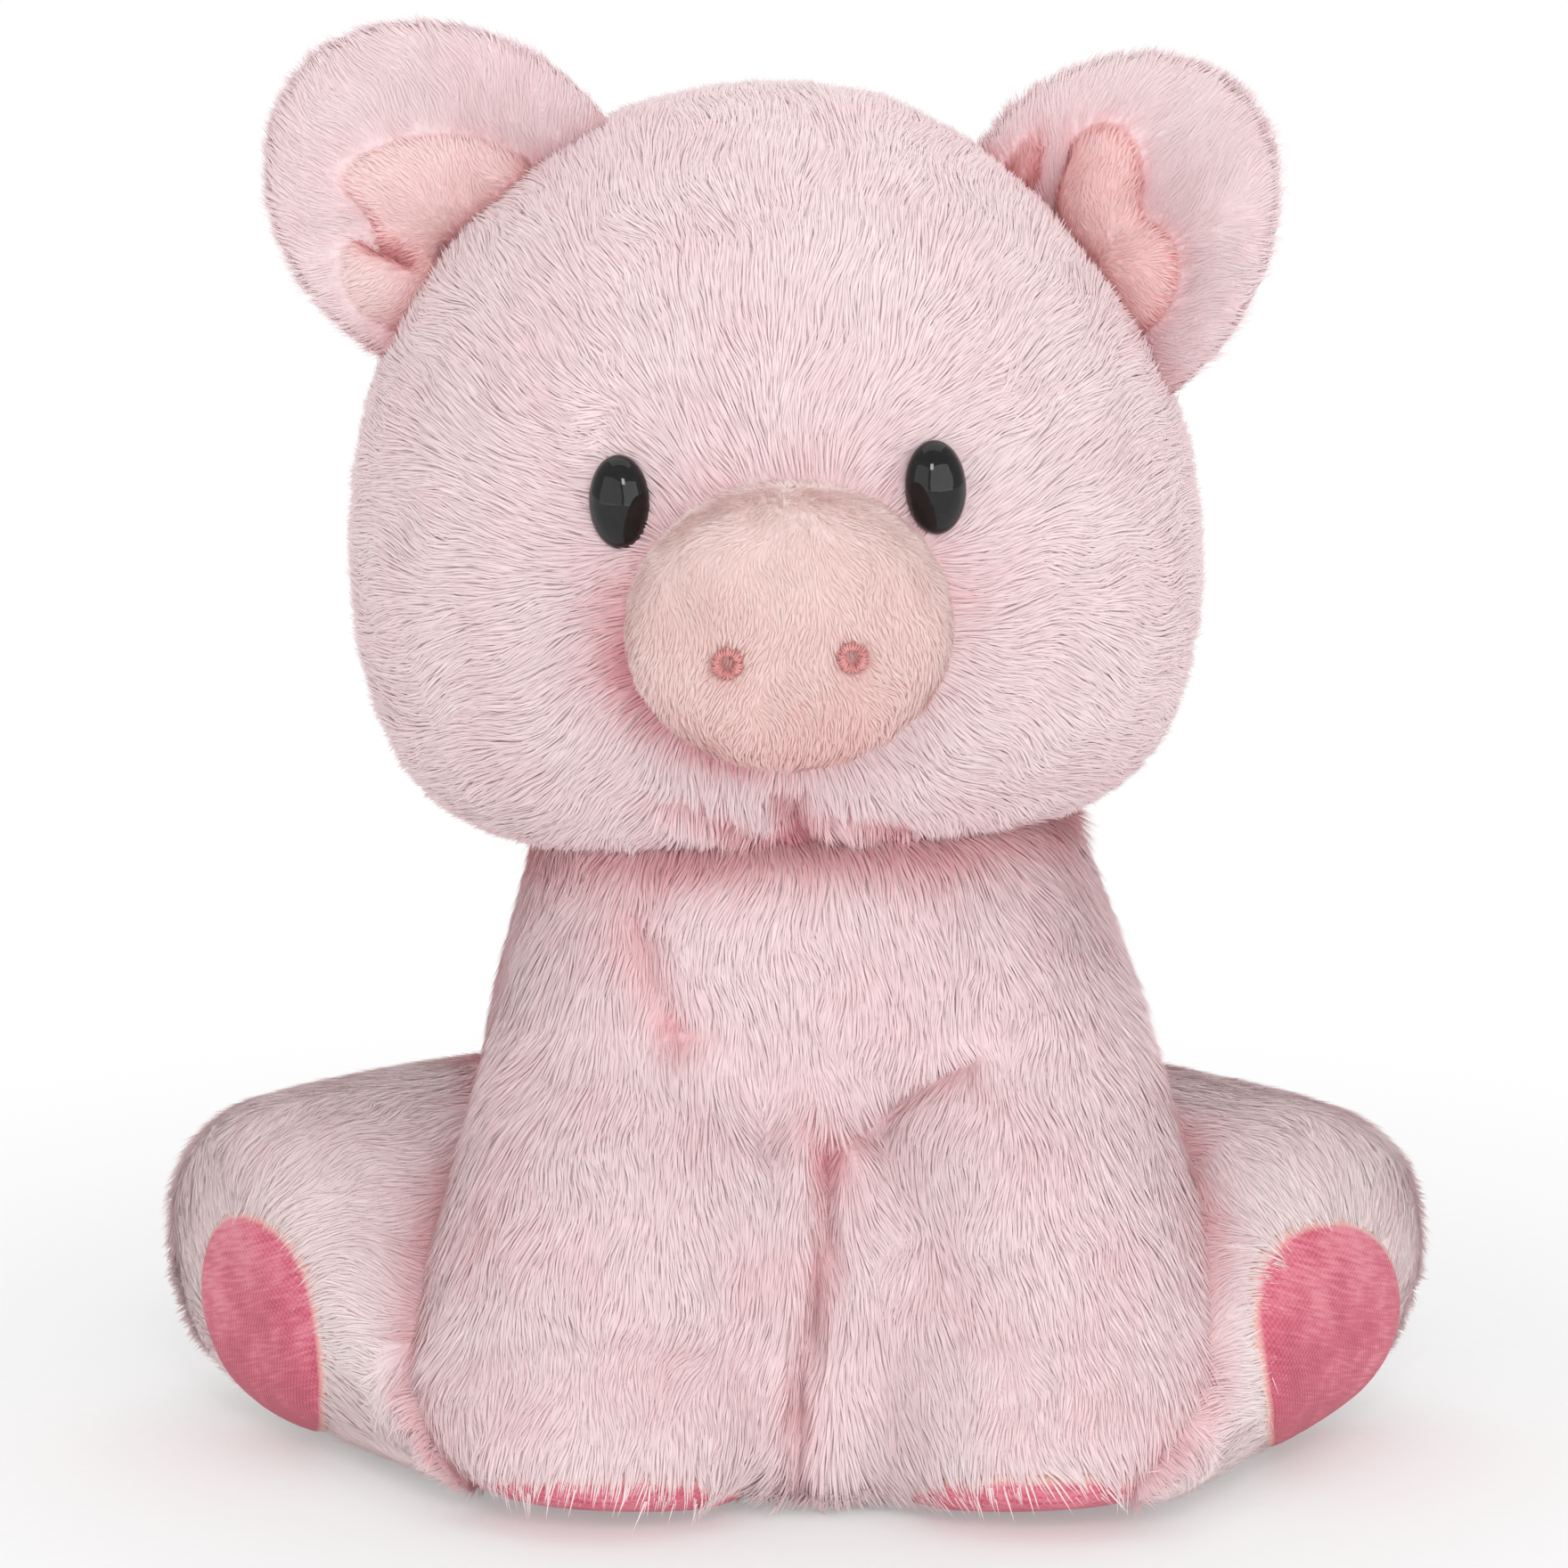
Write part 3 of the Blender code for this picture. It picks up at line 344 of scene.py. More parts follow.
def attribute(tree, name, output="Fac"):
    return add(tree, "ShaderNodeAttribute", attribute_name=name).outputs[output]


def finish_with(tree, shader, height, strength, distance, **values):
    """Link values to a shader's sockets, with bumps from a height."""
    bump = add(tree, "ShaderNodeBump", {"Height": height, "Strength": strength, "Distance": distance})
    tree.links.new(bump.outputs["Normal"], shader.inputs["Normal"])
    for key, value in values.items():
        tree.links.new(value, shader.inputs[key.replace("_", " ")])


def toned(tree, tone, deep, rose, mid, pale):
    return ramp(tree, tone, (0.0, deep), (0.35, rose), (0.65, mid), (1.0, pale))


def strand_material(name, deep, rose, mid, pale, frost):
    """Hair whose colour follows its own map: its tone across, and from its root to its tip upwards."""
    made, tree, shader = new_material(name, Sheen_Tint=SHEEN_TINT, **SHEEN)
    tone, along, _ = parts_of(tree, add(tree, "ShaderNodeUVMap", uv_map="OFBake").outputs["UV"])
    colour = toned(tree, tone, deep, rose, mid, pale)
    rooted = mixed(tree, 0.08, colour, rose, "MULTIPLY")
    lifted = mixed(tree, maths(tree, "MULTIPLY", along, 2.0, clamp=True), rooted, colour)
    tipped = maths(tree, "MULTIPLY", maths(tree, "POWER", along, 3.0), 0.25)
    tree.links.new(mixed(tree, tipped, lifted, frost), shader.inputs["Base Color"])
    tree.links.new(maths(tree, "MULTIPLY_ADD", along, -0.15, 0.75), shader.inputs["Roughness"])
    return made


def nap_group():
    """Streaks that follow the combed pile: fine noise, averaged along the way that the pile lies."""
    tree, given = node_tree("nap", "ShaderNodeTree", (
        ("Place", "Vector"), ("Comb", "Vector"), ("Streak length", "Float", 0.006),
        ("Streaks per metre", "Float", 900.0),
    ), ("Streak", "Float"))
    samples, total = 7, 0.0
    for index in range(samples):
        reach = maths(tree, "MULTIPLY", given["Streak length"], index / (samples - 1) - 0.5)
        place = vector_maths(tree, "ADD", given["Place"], vector_maths(tree, "SCALE", given["Comb"], reach))
        total = maths(tree, "ADD", total, noise(tree, place, given["Streaks per metre"], 1.0)["Fac"])
    spread = add(tree, "ShaderNodeMapRange", {
        "Value": maths(tree, "DIVIDE", total, float(samples)), "From Min": 0.36, "From Max": 0.64,
    }).outputs[0]
    add(tree, "NodeGroupOutput", {"Streak": spread})
    return tree


def pile_material(name, deep, rose, mid, pale, streak=0.006, per_metre=900.0, depth=0.0006):
    """Dense pile between the modelled hairs, on the cloth's own comb and tone."""
    made, tree, shader = new_material(name, Roughness=0.75, **SHEEN)
    place = object_place(tree)
    value = add(tree, "ShaderNodeGroup", {
        "Place": place, "Comb": attribute(tree, "comb", "Vector"),
        "Streak length": streak, "Streaks per metre": per_metre,
    }, node_tree=NAP).outputs["Streak"]
    tone = maths(tree, "ADD", maths(tree, "ADD", attribute(tree, "tone"), patches(tree, place)),
                 maths(tree, "MULTIPLY_ADD", value, 0.22, -0.16))
    finish_with(tree, shader, value, 0.6, depth, Base_Color=toned(tree, tone, deep, rose, mid, pale))
    return made


NAP = nap_group()


def woven_material():
    """Fine plain weave of the soles: two sets of threads on the pad's own map, in metres."""
    made, tree, shader = new_material("pad_cloth", Sheen_Weight=0.15, Sheen_Roughness=0.4)
    spread = add(tree, "ShaderNodeUVMap", uv_map="weave").outputs["UV"]
    across, up, _ = parts_of(tree, spread)
    pitch = 2 * math.pi / WEAVE_PITCH
    warp, weft = (maths(tree, "SINE", maths(tree, "MULTIPLY", way, pitch)) for way in (across, up))
    ridge = maths(tree, "MULTIPLY_ADD", maths(tree, "MULTIPLY", warp, weft), 0.5, 0.5)
    patch = noise(tree, spread, 90.0, 3.0, 0.6)["Fac"]
    streak = noise(tree, vector_maths(tree, "MULTIPLY", spread, (150.0, 1800.0, 1.0)), 1.0)["Fac"]
    wear = maths(tree, "ADD", maths(tree, "MULTIPLY", patch, 0.6), maths(tree, "MULTIPLY", streak, 0.5))
    # The pad turns paler towards its top, and paler in random patches and streaks.
    wear_and_height = maths(tree, "MULTIPLY_ADD", up, PALER_UP_PAD, wear)
    colour = ramp(tree, wear_and_height, (0.44, PAD_ROSE), (0.58, PAD_BRIGHT), (0.72, PAD_PALEST))
    # Painted highlight: the weave's raised threads are made lighter.
    lit = mixed(tree, maths(tree, "MULTIPLY", ridge, 0.34), colour, PAD_RIDGE_HIGHLIGHT)
    seam = add(tree, "ShaderNodeMapRange", {
        "Value": attribute(tree, "edge"), "From Min": 0.92, "From Max": 0.97}).outputs[0]
    finish_with(tree, shader, ridge, 0.6, 0.0003, Base_Color=mixed(tree, seam, lit, PAD_SEAM),
                Roughness=maths(tree, "MULTIPLY_ADD", ridge, -0.2, 0.78))
    return made


def eye_material():
    made, tree, shader = new_material("eye_plastic", Specular_IOR_Level=0.5, IOR=1.45)
    dust = noise(tree, object_place(tree), 900.0, 4.0, 0.7)["Fac"]
    tree.links.new(ramp(tree, dust, (0.45, EYE_BLACK), (0.9, EYE_DUST)), shader.inputs["Base Color"])
    tree.links.new(maths(tree, "MULTIPLY_ADD", dust, 0.05, 0.03), shader.inputs["Roughness"])
    return made


def plain_material(name, colour, other, scale, roughness, bump_depth):
    """A mottled finish with fine bumps, for thread and for pieces inside the toy."""
    made, tree, shader = new_material(name, Roughness=roughness)
    patch = noise(tree, object_place(tree), scale, 4.0, 0.6)["Fac"]
    finish_with(tree, shader, patch, 0.4, bump_depth, Base_Color=ramp(tree, patch, (0.35, other), (0.7, colour)))
    return made


def node_points(*names):
    return np.array([v.co for name in names for v in frame["nodes"][name].data.vertices], float)


def hull(points):
    """The convex solid round a set of points."""
    bm = bmesh.new()
    for point in points:
        bm.verts.new(point)
    made = bmesh.ops.convex_hull(bm, input=bm.verts)
    inner = {item for item in made["geom_interior"] + made["geom_unused"] if isinstance(item, bmesh.types.BMVert)}
    bmesh.ops.delete(bm, geom=list(inner), context="VERTS")
    bmesh.ops.recalc_face_normals(bm, faces=bm.faces)
    return bm


def cover_hull(*names):
    return hull(node_points(*names))


def unit(vectors):
    """One vector, or each row of many, at a length of one."""
    return vectors / np.linalg.norm(vectors, axis=-1, keepdims=True)


def falloff(distance, reach):
    """One at no distance, fading to nothing at about twice the reach."""
    return np.exp(-(distance / reach) ** 2)


def pivot(name):
    return np.array(joints[name]["pos_m"])


def level_way(start, end):
    """The direction from one place to another, seen from above."""
    return unit((end - start) * (1, 1, 0))


def square_to(points, way):
    """The direction square to a flat set of points, on the side that a way points to."""
    out = np.linalg.svd(points - points.mean(0))[2][2]
    return out if out @ way > 0 else -out


def flat_axes(out, up):
    """The directions across and up a surface that faces out."""
    up = unit(up - out * (up @ out))
    return np.cross(up, out), up


def vectors_of(items, key):
    """One row of three values for each item."""
    values = np.empty(len(items) * 3)
    items.foreach_get(key, values)
    return values.reshape(-1, 3)


def mesh_of(bm, name):
    mesh = bpy.data.meshes.new(name)
    bm.to_mesh(mesh)
    bm.free()
    return mesh


def ball(middle, radii, turn=0.0, place=Matrix()):
    bm = bmesh.new()
    bmesh.ops.create_icosphere(bm, subdivisions=4, radius=1.0)
    turned = Matrix.Rotation(math.radians(turn), 4, "Z")
    bm.transform(place @ Matrix.Translation(middle) @ turned @ Matrix.Diagonal((*radii, 1.0)))
    return bm


def new_object(name, mesh, material=None):
    obj = bpy.data.objects.new(name, mesh)
    bpy.context.scene.collection.objects.link(obj)
    if material:
        mesh.materials.clear()
        mesh.materials.append(material)
    return obj


def evaluated_mesh(obj):
    """The object's mesh with its modifiers applied. The object is removed."""
    depsgraph = bpy.context.evaluated_depsgraph_get()
    made = bpy.data.meshes.new_from_object(obj.evaluated_get(depsgraph), preserve_all_data_layers=True,
                                           depsgraph=depsgraph)
    bpy.data.objects.remove(obj, do_unlink=True)
    return made


def joined_mesh(solids, voxel, smoothing):
    """One smooth closed skin round overlapping solids."""
    joined = bmesh.new()
    for solid in solids:
        loose = mesh_of(solid, "loose")
        joined.from_mesh(loose)
        bpy.data.meshes.remove(loose)
    obj = new_object("joined", mesh_of(joined, "joined"))
    remesh = obj.modifiers.new("remesh", "REMESH")
    remesh.mode = "VOXEL"
    remesh.voxel_size = voxel
    smooth = obj.modifiers.new("smooth", "SMOOTH")
    smooth.factor = 0.5
    smooth.iterations = smoothing
    return evaluated_mesh(obj)


def made_by(tree, name, mesh, **inputs):
    """The mesh that a node tree makes of another, with some of its inputs set."""
    obj = new_object(name, mesh)
    step = obj.modifiers.new(tree.name, "NODES")
    step.node_group = tree
    for item in tree.interface.items_tree:
        if item.in_out == "INPUT" and item.name in inputs:
            step[item.identifier] = inputs[item.name]
    return evaluated_mesh(obj)


class Cloth:
    """The backing cloth that lies under one skin round some solids, and how its pile looks and lies."""

    def __init__(self, solids, voxel, smoothing, under=0.0):
        self.mesh = joined_mesh(solids, voxel, smoothing)
        self.read()
        count = len(self.place)
        self.tone = np.full(count, MIDDLE_TONE)
        self.pile = np.ones(count)
        self.density = np.ones(count)
        self.comb = np.zeros((count, 3))
        self.sink(under)

    def read(self):
        self.mesh.update()
        self.place = vectors_of(self.mesh.vertices, "co")
        self.out = vectors_of(self.mesh.vertex_normals, "vector")

    def move(self, offsets):
        self.mesh.vertices.foreach_set("co", (self.place + offsets).ravel())
        self.read()

    def sink(self, depth):
        """Move inwards, by one depth or by one for each point."""
        self.move(-self.out * np.reshape(depth, (-1, 1)))

    def bvh(self):
        bm = bmesh.new()
        bm.from_mesh(self.mesh)
        tree = BVHTree.FromBMesh(bm)
        bm.free()
        return tree

    def press(self, path, width, depth, crease_shade=0.50):
        """Press a crease along a path of points, and paint shade into it by deepening the pile's tone there."""
        distance = path_distance(self.place, path)
        dent = falloff(distance, width)
        self.sink(dent * depth)
        # Painted shade: the pile's tone is deepened inside the crease.
        self.tone -= crease_shade * falloff(distance, 1.5 * width)
        self.pile *= 1 - 0.35 * dent

    def press_front(self, creases, crease_shade=0.50):
        """Press creases whose places are given as seen from the front."""
        tree = self.bvh()
        for places, width, depth in creases.values():
            path = [tree.ray_cast(Vector((x, -1.0, z)), Vector((0, 1, 0)))[0] for x, z in places]
            self.press(path, width, depth, crease_shade)

    def thin_below(self, height, facing):
        """Little fur grows on what faces the ground."""
        self.density[(self.place[:, 2] < height) & (self.out[:, 2] < facing)] = 0.3

    def store(self, name, kind, values):
        layer = self.mesh.attributes.get(name) or self.mesh.attributes.new(name, kind, "POINT")
        key = "vector" if kind == "FLOAT_VECTOR" else "value"
        layer.data.foreach_set(key, np.asarray(values, np.float32).ravel())

    def store_all(self):
        flat = self.comb - self.out * (self.comb * self.out).sum(1)[:, None]
        length = np.linalg.norm(flat, axis=1)[:, None]
        self.store("comb", "FLOAT_VECTOR", flat / np.maximum(length, 1e-9))
        self.store("tone", "FLOAT", np.clip(self.tone, 0.02, 0.98))
        self.store("pile", "FLOAT", self.pile)
        self.store("density", "FLOAT", np.clip(self.density, 0, 1))


def depth_under(tree, place):
    """How deep a place lies under a skin, below zero outside it, with the skin's nearest point and normal."""
    near, normal, _, _ = tree.find_nearest(Vector(place))
    way = near - Vector(place)
    inside = way.dot(normal) > 0.6 * way.length
    return way.length if inside else -way.length, near, normal


def inside_depth(cloth, other):
    """How deep each point of a cloth lies inside another, and below zero outside it."""
    tree = other.bvh()
    return np.array([depth_under(tree, place)[0] for place in cloth.place])


def hide_inside(cloth, other, depth=0.002):
    """No fur grows where a cloth lies deep inside another."""
    cloth.density[inside_depth(cloth, other) > depth] = 0


def tuck_into(cloth, other, depth):
    """Flatten what reaches deep into another cloth to a thin layer under its surface."""
    tree = other.bvh()
    offsets = np.zeros_like(cloth.place)
    for index, place in enumerate(cloth.place):
        found, near, normal = depth_under(tree, place)
        if found > depth:
            offsets[index] = np.array(near - normal * depth) - place
    cloth.move(offsets)


def seam_shade(cloth, other, reach, strength, toward=None):
    """Painted shade: deepen a cloth's pile tone along the seam where it meets another, or only on one side of it."""
    seen = other.place[inside_depth(other, cloth) < 0.0006]
    tree = KDTree(len(seen))
    for index, place in enumerate(seen):
        tree.insert(place, index)
    tree.balance()
    gap = np.array([tree.find(place)[2] for place in cloth.place])
    share = 1.0
    if toward is not None:
        share = np.clip(unit(cloth.place - other.place.mean(0)) @ np.array(toward), 0, 1) ** 2
    cloth.tone -= strength * share * falloff(gap, reach)


def path_distance(points, path):
    """How far each point lies from a path of straight runs."""
    path = np.array(path, float)
    least = np.full(len(points), np.inf)
    for start, end in zip(path[:-1], path[1:]):
        run = end - start
        part = np.clip((points - start) @ run / (run @ run), 0, 1)
        least = np.minimum(least, np.linalg.norm(points - start - part[:, None] * run, axis=1))
    return least


def fold_shade(cloths, rays=24, reach=0.018, strength=0.24):
    """Painted shade: deepen the pile's tone where other cloth stands close by, as occlusion darkens folds."""
    trees = [cloth.bvh() for cloth in cloths]
    golden = math.pi * (3 - math.sqrt(5))
    directions = [
        Vector((math.cos(golden * n) * math.sqrt(1 - c * c), math.sin(golden * n) * math.sqrt(1 - c * c), c))
        for n in range(rays) for c in [(n + 0.5) / rays]
    ]
    for cloth in cloths:
        shade = np.zeros(len(cloth.place))
        for index, (place, out) in enumerate(zip(cloth.place, cloth.out)):
            normal = Vector(out)
            turn = normal.to_track_quat("Z", "Y")
            start = Vector(place) + normal * (PILE * 0.5)
            for direction in directions:
                way = turn @ direction
                if any(tree.ray_cast(start, way, reach)[0] is not None for tree in trees):
                    shade[index] += direction.z * 2 / rays
        cloth.tone -= strength * shade


def strand_nodes(tree, given):
    """One hair of unit length: a slim three-sided blade, widest near its root, bent a little, and pointed."""
    cone = add(tree, "GeometryNodeMeshCone", {
        "Vertices": 3, "Side Segments": 1, "Fill Segments": 1,
        "Radius Top": 0.0, "Radius Bottom": 1.0, "Depth": 1.0,
    }, fill_type="NGON")
    at = parts_of(tree, add(tree, "GeometryNodeInputPosition").outputs[0])
    marked = add(tree, "GeometryNodeCaptureAttribute", {"Geometry": cone.outputs["Mesh"]}, domain="POINT")
    marked.capture_items.new("FLOAT", "along")
    marked.capture_items.new("FLOAT", "side")
    front = maths(tree, "SUBTRACT", 1.0, at["X"])
    root_share = maths(tree, "MULTIPLY", front, HAIR_BEND / 1.5)
    tree.links.new(maths(tree, "MULTIPLY_ADD", at["Z"], 1 - HAIR_BEND / 1.5, root_share), marked.inputs["along"])
    tree.links.new(at["Y"], marked.inputs["side"])
    rise = maths(tree, "MULTIPLY_ADD", at["Z"], HAIR_TIP_RISE, maths(tree, "MULTIPLY", front, HAIR_BEND_RISE))
    share = maths(tree, "DIVIDE", given["Strand width"], given["Strand length"])
    shape = vector_of(
        tree, X=maths(tree, "MULTIPLY", marked.outputs["along"], HAIR_REACH),
        Y=maths(tree, "MULTIPLY", at["Y"], maths(tree, "DIVIDE", share, math.sqrt(3))),
        Z=maths(tree, "MULTIPLY", given["Rise"], rise))
    hair = add(tree, "GeometryNodeSetPosition", {"Geometry": marked.outputs["Geometry"], "Position": shape})
    return hair.outputs[0], marked.outputs["along"], marked.outputs["side"]


def named(tree, name, kind):
    return add(tree, "GeometryNodeInputNamedAttribute", {"Name": name}, data_type=kind).outputs["Attribute"]


def random_value(tree, low, high, seed):
    return add(tree, "FunctionNodeRandomValue", {2: low, 3: high, "Seed": seed}, data_type="FLOAT").outputs[1]


def random_colour(tree, place):
    return add(tree, "ShaderNodeTexWhiteNoise", {"Vector": place}).outputs["Color"]


def rooted_points(tree, given, place):
    """Where the hairs stand on one panel, each with its way out, its comb, its tuft's pull and its tone."""
    panel = add(tree, "FunctionNodeCompare", {2: named(tree, "panel", "INT"), 3: given["Panel"]},
                data_type="INT", operation="EQUAL")
    spread = add(tree, "GeometryNodeDistributePointsOnFaces", {
        "Mesh": given["Cloth"], "Selection": panel.outputs[0], "Seed": given["Seed"],
        "Density": maths(tree, "MULTIPLY", given["Strands per area"], named(tree, "density", "FLOAT")),
    }, distribute_method="RANDOM")
    out = spread.outputs["Normal"]
    wave = shake_of(tree, noise(tree, place, 75.0)["Color"], maths(tree, "MULTIPLY", given["Swirl"], 3.0))
    tufts = add(tree, "ShaderNodeTexVoronoi", {
        "Vector": place, "Scale": maths(tree, "DIVIDE", 1.0, given["Tuft spacing"]),
    }).outputs
    pull = vector_maths(tree, "SUBTRACT", tufts["Position"], place)
    level = vector_maths(tree, "SUBTRACT", pull, vector_maths(
        tree, "SCALE", out, vector_maths(tree, "DOT_PRODUCT", pull, out)))
    vary = maths(tree, "MULTIPLY_ADD", parts_of(tree, tufts["Color"])["X"], TUFT_TONES, -TUFT_TONES / 2)
    tone = maths(tree, "ADD", maths(tree, "ADD", named(tree, "tone", "FLOAT"), vary),
                 maths(tree, "ADD", patches(tree, place), random_value(tree, -0.02, 0.02, 3)))
    kept = add(tree, "GeometryNodeCaptureAttribute", {"Geometry": spread.outputs["Points"]}, domain="POINT")
    for name, kind, value in (
        ("out", "VECTOR", out), ("pull", "VECTOR", level), ("tone", "FLOAT", tone),
        ("combed", "VECTOR", vector_maths(tree, "ADD", named(tree, "comb", "FLOAT_VECTOR"), wave)),
    ):
        kept.capture_items.new(kind, name)
        tree.links.new(value, kept.inputs[name])
    return kept.outputs


def fur_nodes():
    """Hairs planted on a cloth, laid along its comb, drawn into tufts and kept off the ground."""
    tree, given = node_tree("fur", "GeometryNodeTree", (
        ("Cloth", "Geometry"), ("Strand length", "Float", STRAND_LENGTH), ("Strand width", "Float", STRAND_WIDTH),
        ("Rise", "Float", 0.135), ("Strands per area", "Float", STRANDS_PER_AREA),
        ("Tuft spacing", "Float", TUFT_SPACING), ("Tuft pull", "Float", 0.25), ("Swirl", "Float", 0.9),
        ("Softness", "Float", 0.92), ("Panel", "Int", 0), ("Seed", "Int", 1), ("Hair", "Material"),
    ), ("Fur", "Geometry"))
    place = add(tree, "GeometryNodeInputPosition").outputs[0]
    kept = rooted_points(tree, given, place)
    lean = vector_maths(tree, "ADD", kept["out"], shake_of(tree, random_colour(tree, place), 0.16))
    turn = add(tree, "FunctionNodeAxesToRotation", {
        "Primary Axis": lean, "Secondary Axis": kept["combed"]}, primary_axis="Z", secondary_axis="X")
    hair, along, side = strand_nodes(tree, given)
    size = maths(tree, "MULTIPLY", maths(tree, "MULTIPLY", given["Strand length"], named(tree, "pile", "FLOAT")),
                 random_value(tree, 0.78, 1.12, 5))
    planted = add(tree, "GeometryNodeInstanceOnPoints", {
        "Points": kept["Geometry"], "Instance": hair, "Rotation": turn.outputs[0], "Scale": size})
    solid = add(tree, "GeometryNodeRealizeInstances", {"Geometry": planted.outputs[0]}).outputs[0]
    shift = vector_maths(tree, "SCALE", kept["pull"], maths(
        tree, "MULTIPLY", given["Tuft pull"], maths(tree, "POWER", along, 1.5)))
    x, y, z = parts_of(tree, vector_maths(tree, "ADD", place, shift))
    grounded = vector_of(tree, X=x, Y=y, Z=maths(tree, "MAXIMUM", z, GROUND))
    laid = add(tree, "GeometryNodeSetPosition", {"Geometry": solid, "Position": grounded}).outputs[0]
    own = add(tree, "GeometryNodeInputNormal").outputs["Normal"]
    soft = add(tree, "ShaderNodeMix", {0: given["Softness"], 4: own, 5: kept["out"]}, data_type="VECTOR")
    lit = add(tree, "GeometryNodeSetMeshNormal", {"Mesh": laid}, mode="FREE", domain="POINT")
    tree.links.new(vector_maths(tree, "NORMALIZE", soft.outputs[1]), lit.inputs["Custom Normal"])
    tone = maths(tree, "MAXIMUM", maths(tree, "MINIMUM", kept["tone"], 1.0), 0.0)
    chart = vector_of(
        tree, X=maths(tree, "MULTIPLY_ADD", side, 0.02, maths(tree, "MULTIPLY_ADD", tone, 0.96, 0.01)),
        Y=maths(tree, "MULTIPLY_ADD", along, 0.96, 0.02))
    mapped = add(tree, "GeometryNodeStoreNamedAttribute", {
        "Geometry": lit.outputs[0], "Name": "OFBake", "Value": chart,
    }, data_type="FLOAT2", domain="CORNER")
    add(tree, "NodeGroupOutput", {"Fur": add(tree, "GeometryNodeSetMaterial", {
        "Geometry": mapped.outputs[0], "Material": given["Hair"]}).outputs[0]})
    return tree


FUR = fur_nodes()


def grow(name, cloth, material, panels, **settings):
    """Fur on a cloth, one piece for each of its panels round the vertical."""
    mesh = cloth.mesh.copy()
    centres = vectors_of(mesh.polygons, "center") - (cloth.place.min(0) + cloth.place.max(0)) / 2
    turn = (np.arctan2(centres[:, 0], -centres[:, 1]) / (2 * math.pi) + 0.5) % 1.0
    panel = mesh.attributes.new("panel", "INT", "FACE")
    panel.data.foreach_set("value", np.floor(turn * panels).astype(np.int32))
    made = []
    for index in range(panels):
        values = {"Panel": index, "Seed": index + 11, "Hair": material, **settings}
        fur = made_by(FUR, "growing", mesh, **values)
        for layer in [a.name for a in fur.attributes if a.name in ("comb", "tone", "pile", "density", "panel")]:
            fur.attributes.remove(fur.attributes[layer])
        made.append(new_object(f"{name}_{index + 1}", fur))
    bpy.data.meshes.remove(mesh)
    return made


def dress(pieces, body, other=None, start=None, end=None, slot="fur"):
    """Let pieces ride on a body, or bend between two."""
    for piece in pieces:
        if other:
            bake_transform(piece, body, other, start=start, end=end)
        else:
            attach(piece, body)


# Materials of this toy
fur_hair = strand_material("fur_hair", FUR_DEEP, FUR_ROSE, FUR_PINK, FUR_PALE, FUR_FROST)
snout_hair = strand_material("snout_hair", PEACH_DEEP, PEACH_ROSE, PEACH, PEACH_PALE, PEACH_FROST)
lining_hair = strand_material("lining_hair", LINING_DEEP, LINING_ROSE, LINING, LINING_PALE, LINING_PALE)
fur_cloth = pile_material("fur_cloth", FUR_DEEP, FUR_ROSE, FUR_PINK, FUR_PALE)
snout_cloth = pile_material("snout_cloth", PEACH_DEEP, PEACH_ROSE, PEACH, PEACH_PALE, 0.002, 1400.0, 0.0004)
lining_cloth = pile_material("lining_cloth", LINING_DEEP, LINING_ROSE, LINING, LINING_PALE, 0.002, 1400.0, 0.0004)
pad_cloth = woven_material()
eye_plastic = eye_material()
thread = plain_material("thread", THREAD_ROSE, (0.56, 0.20, 0.20, 1.0), 900.0, 0.55, 0.0001)
fibre = plain_material("fibre", (0.88, 0.87, 0.85, 1.0), (0.76, 0.75, 0.74, 1.0), 260.0, 0.95, 0.001)
washer_plastic = plain_material(
    "washer_plastic", (0.76, 0.76, 0.73, 1.0), (0.70, 0.70, 0.67, 1.0), 300.0, 0.4, 0.0001)
pouch_cloth = plain_material("pouch_cloth", (0.80, 0.77, 0.70, 1.0), (0.70, 0.67, 0.60, 1.0), 700.0, 0.9, 0.0002)
pellet_plastic = plain_material("pellets", (0.74, 0.74, 0.71, 1.0), (0.60, 0.60, 0.58, 1.0), 500.0, 0.5, 0.0004)


def finish_cloth(cloth, name, material, fill, *nodes):
    """Turn a cloth's mesh into the piece that stands for its cover."""
    piece_mesh = cloth.mesh.copy()
    for layer in ("pile", "density"):
        piece_mesh.attributes.remove(piece_mesh.attributes[layer])
    piece_mesh.shade_smooth()
    piece = new_object(name, piece_mesh, material)
    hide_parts(*nodes)
    return piece


def cover(cloth, name, backing, fill, nodes, fur_name, hair, bodies, panels=1, slot="fur", **settings):
    """Grow a finished cloth's fur, and make the cloth the piece that stands for its nodes."""
    cloth.store_all()
    dress(grow(fur_name, cloth, hair, panels, **settings), *bodies, slot=slot)
    dress([finish_cloth(cloth, name, backing, fill, *nodes)], *bodies, slot=slot)


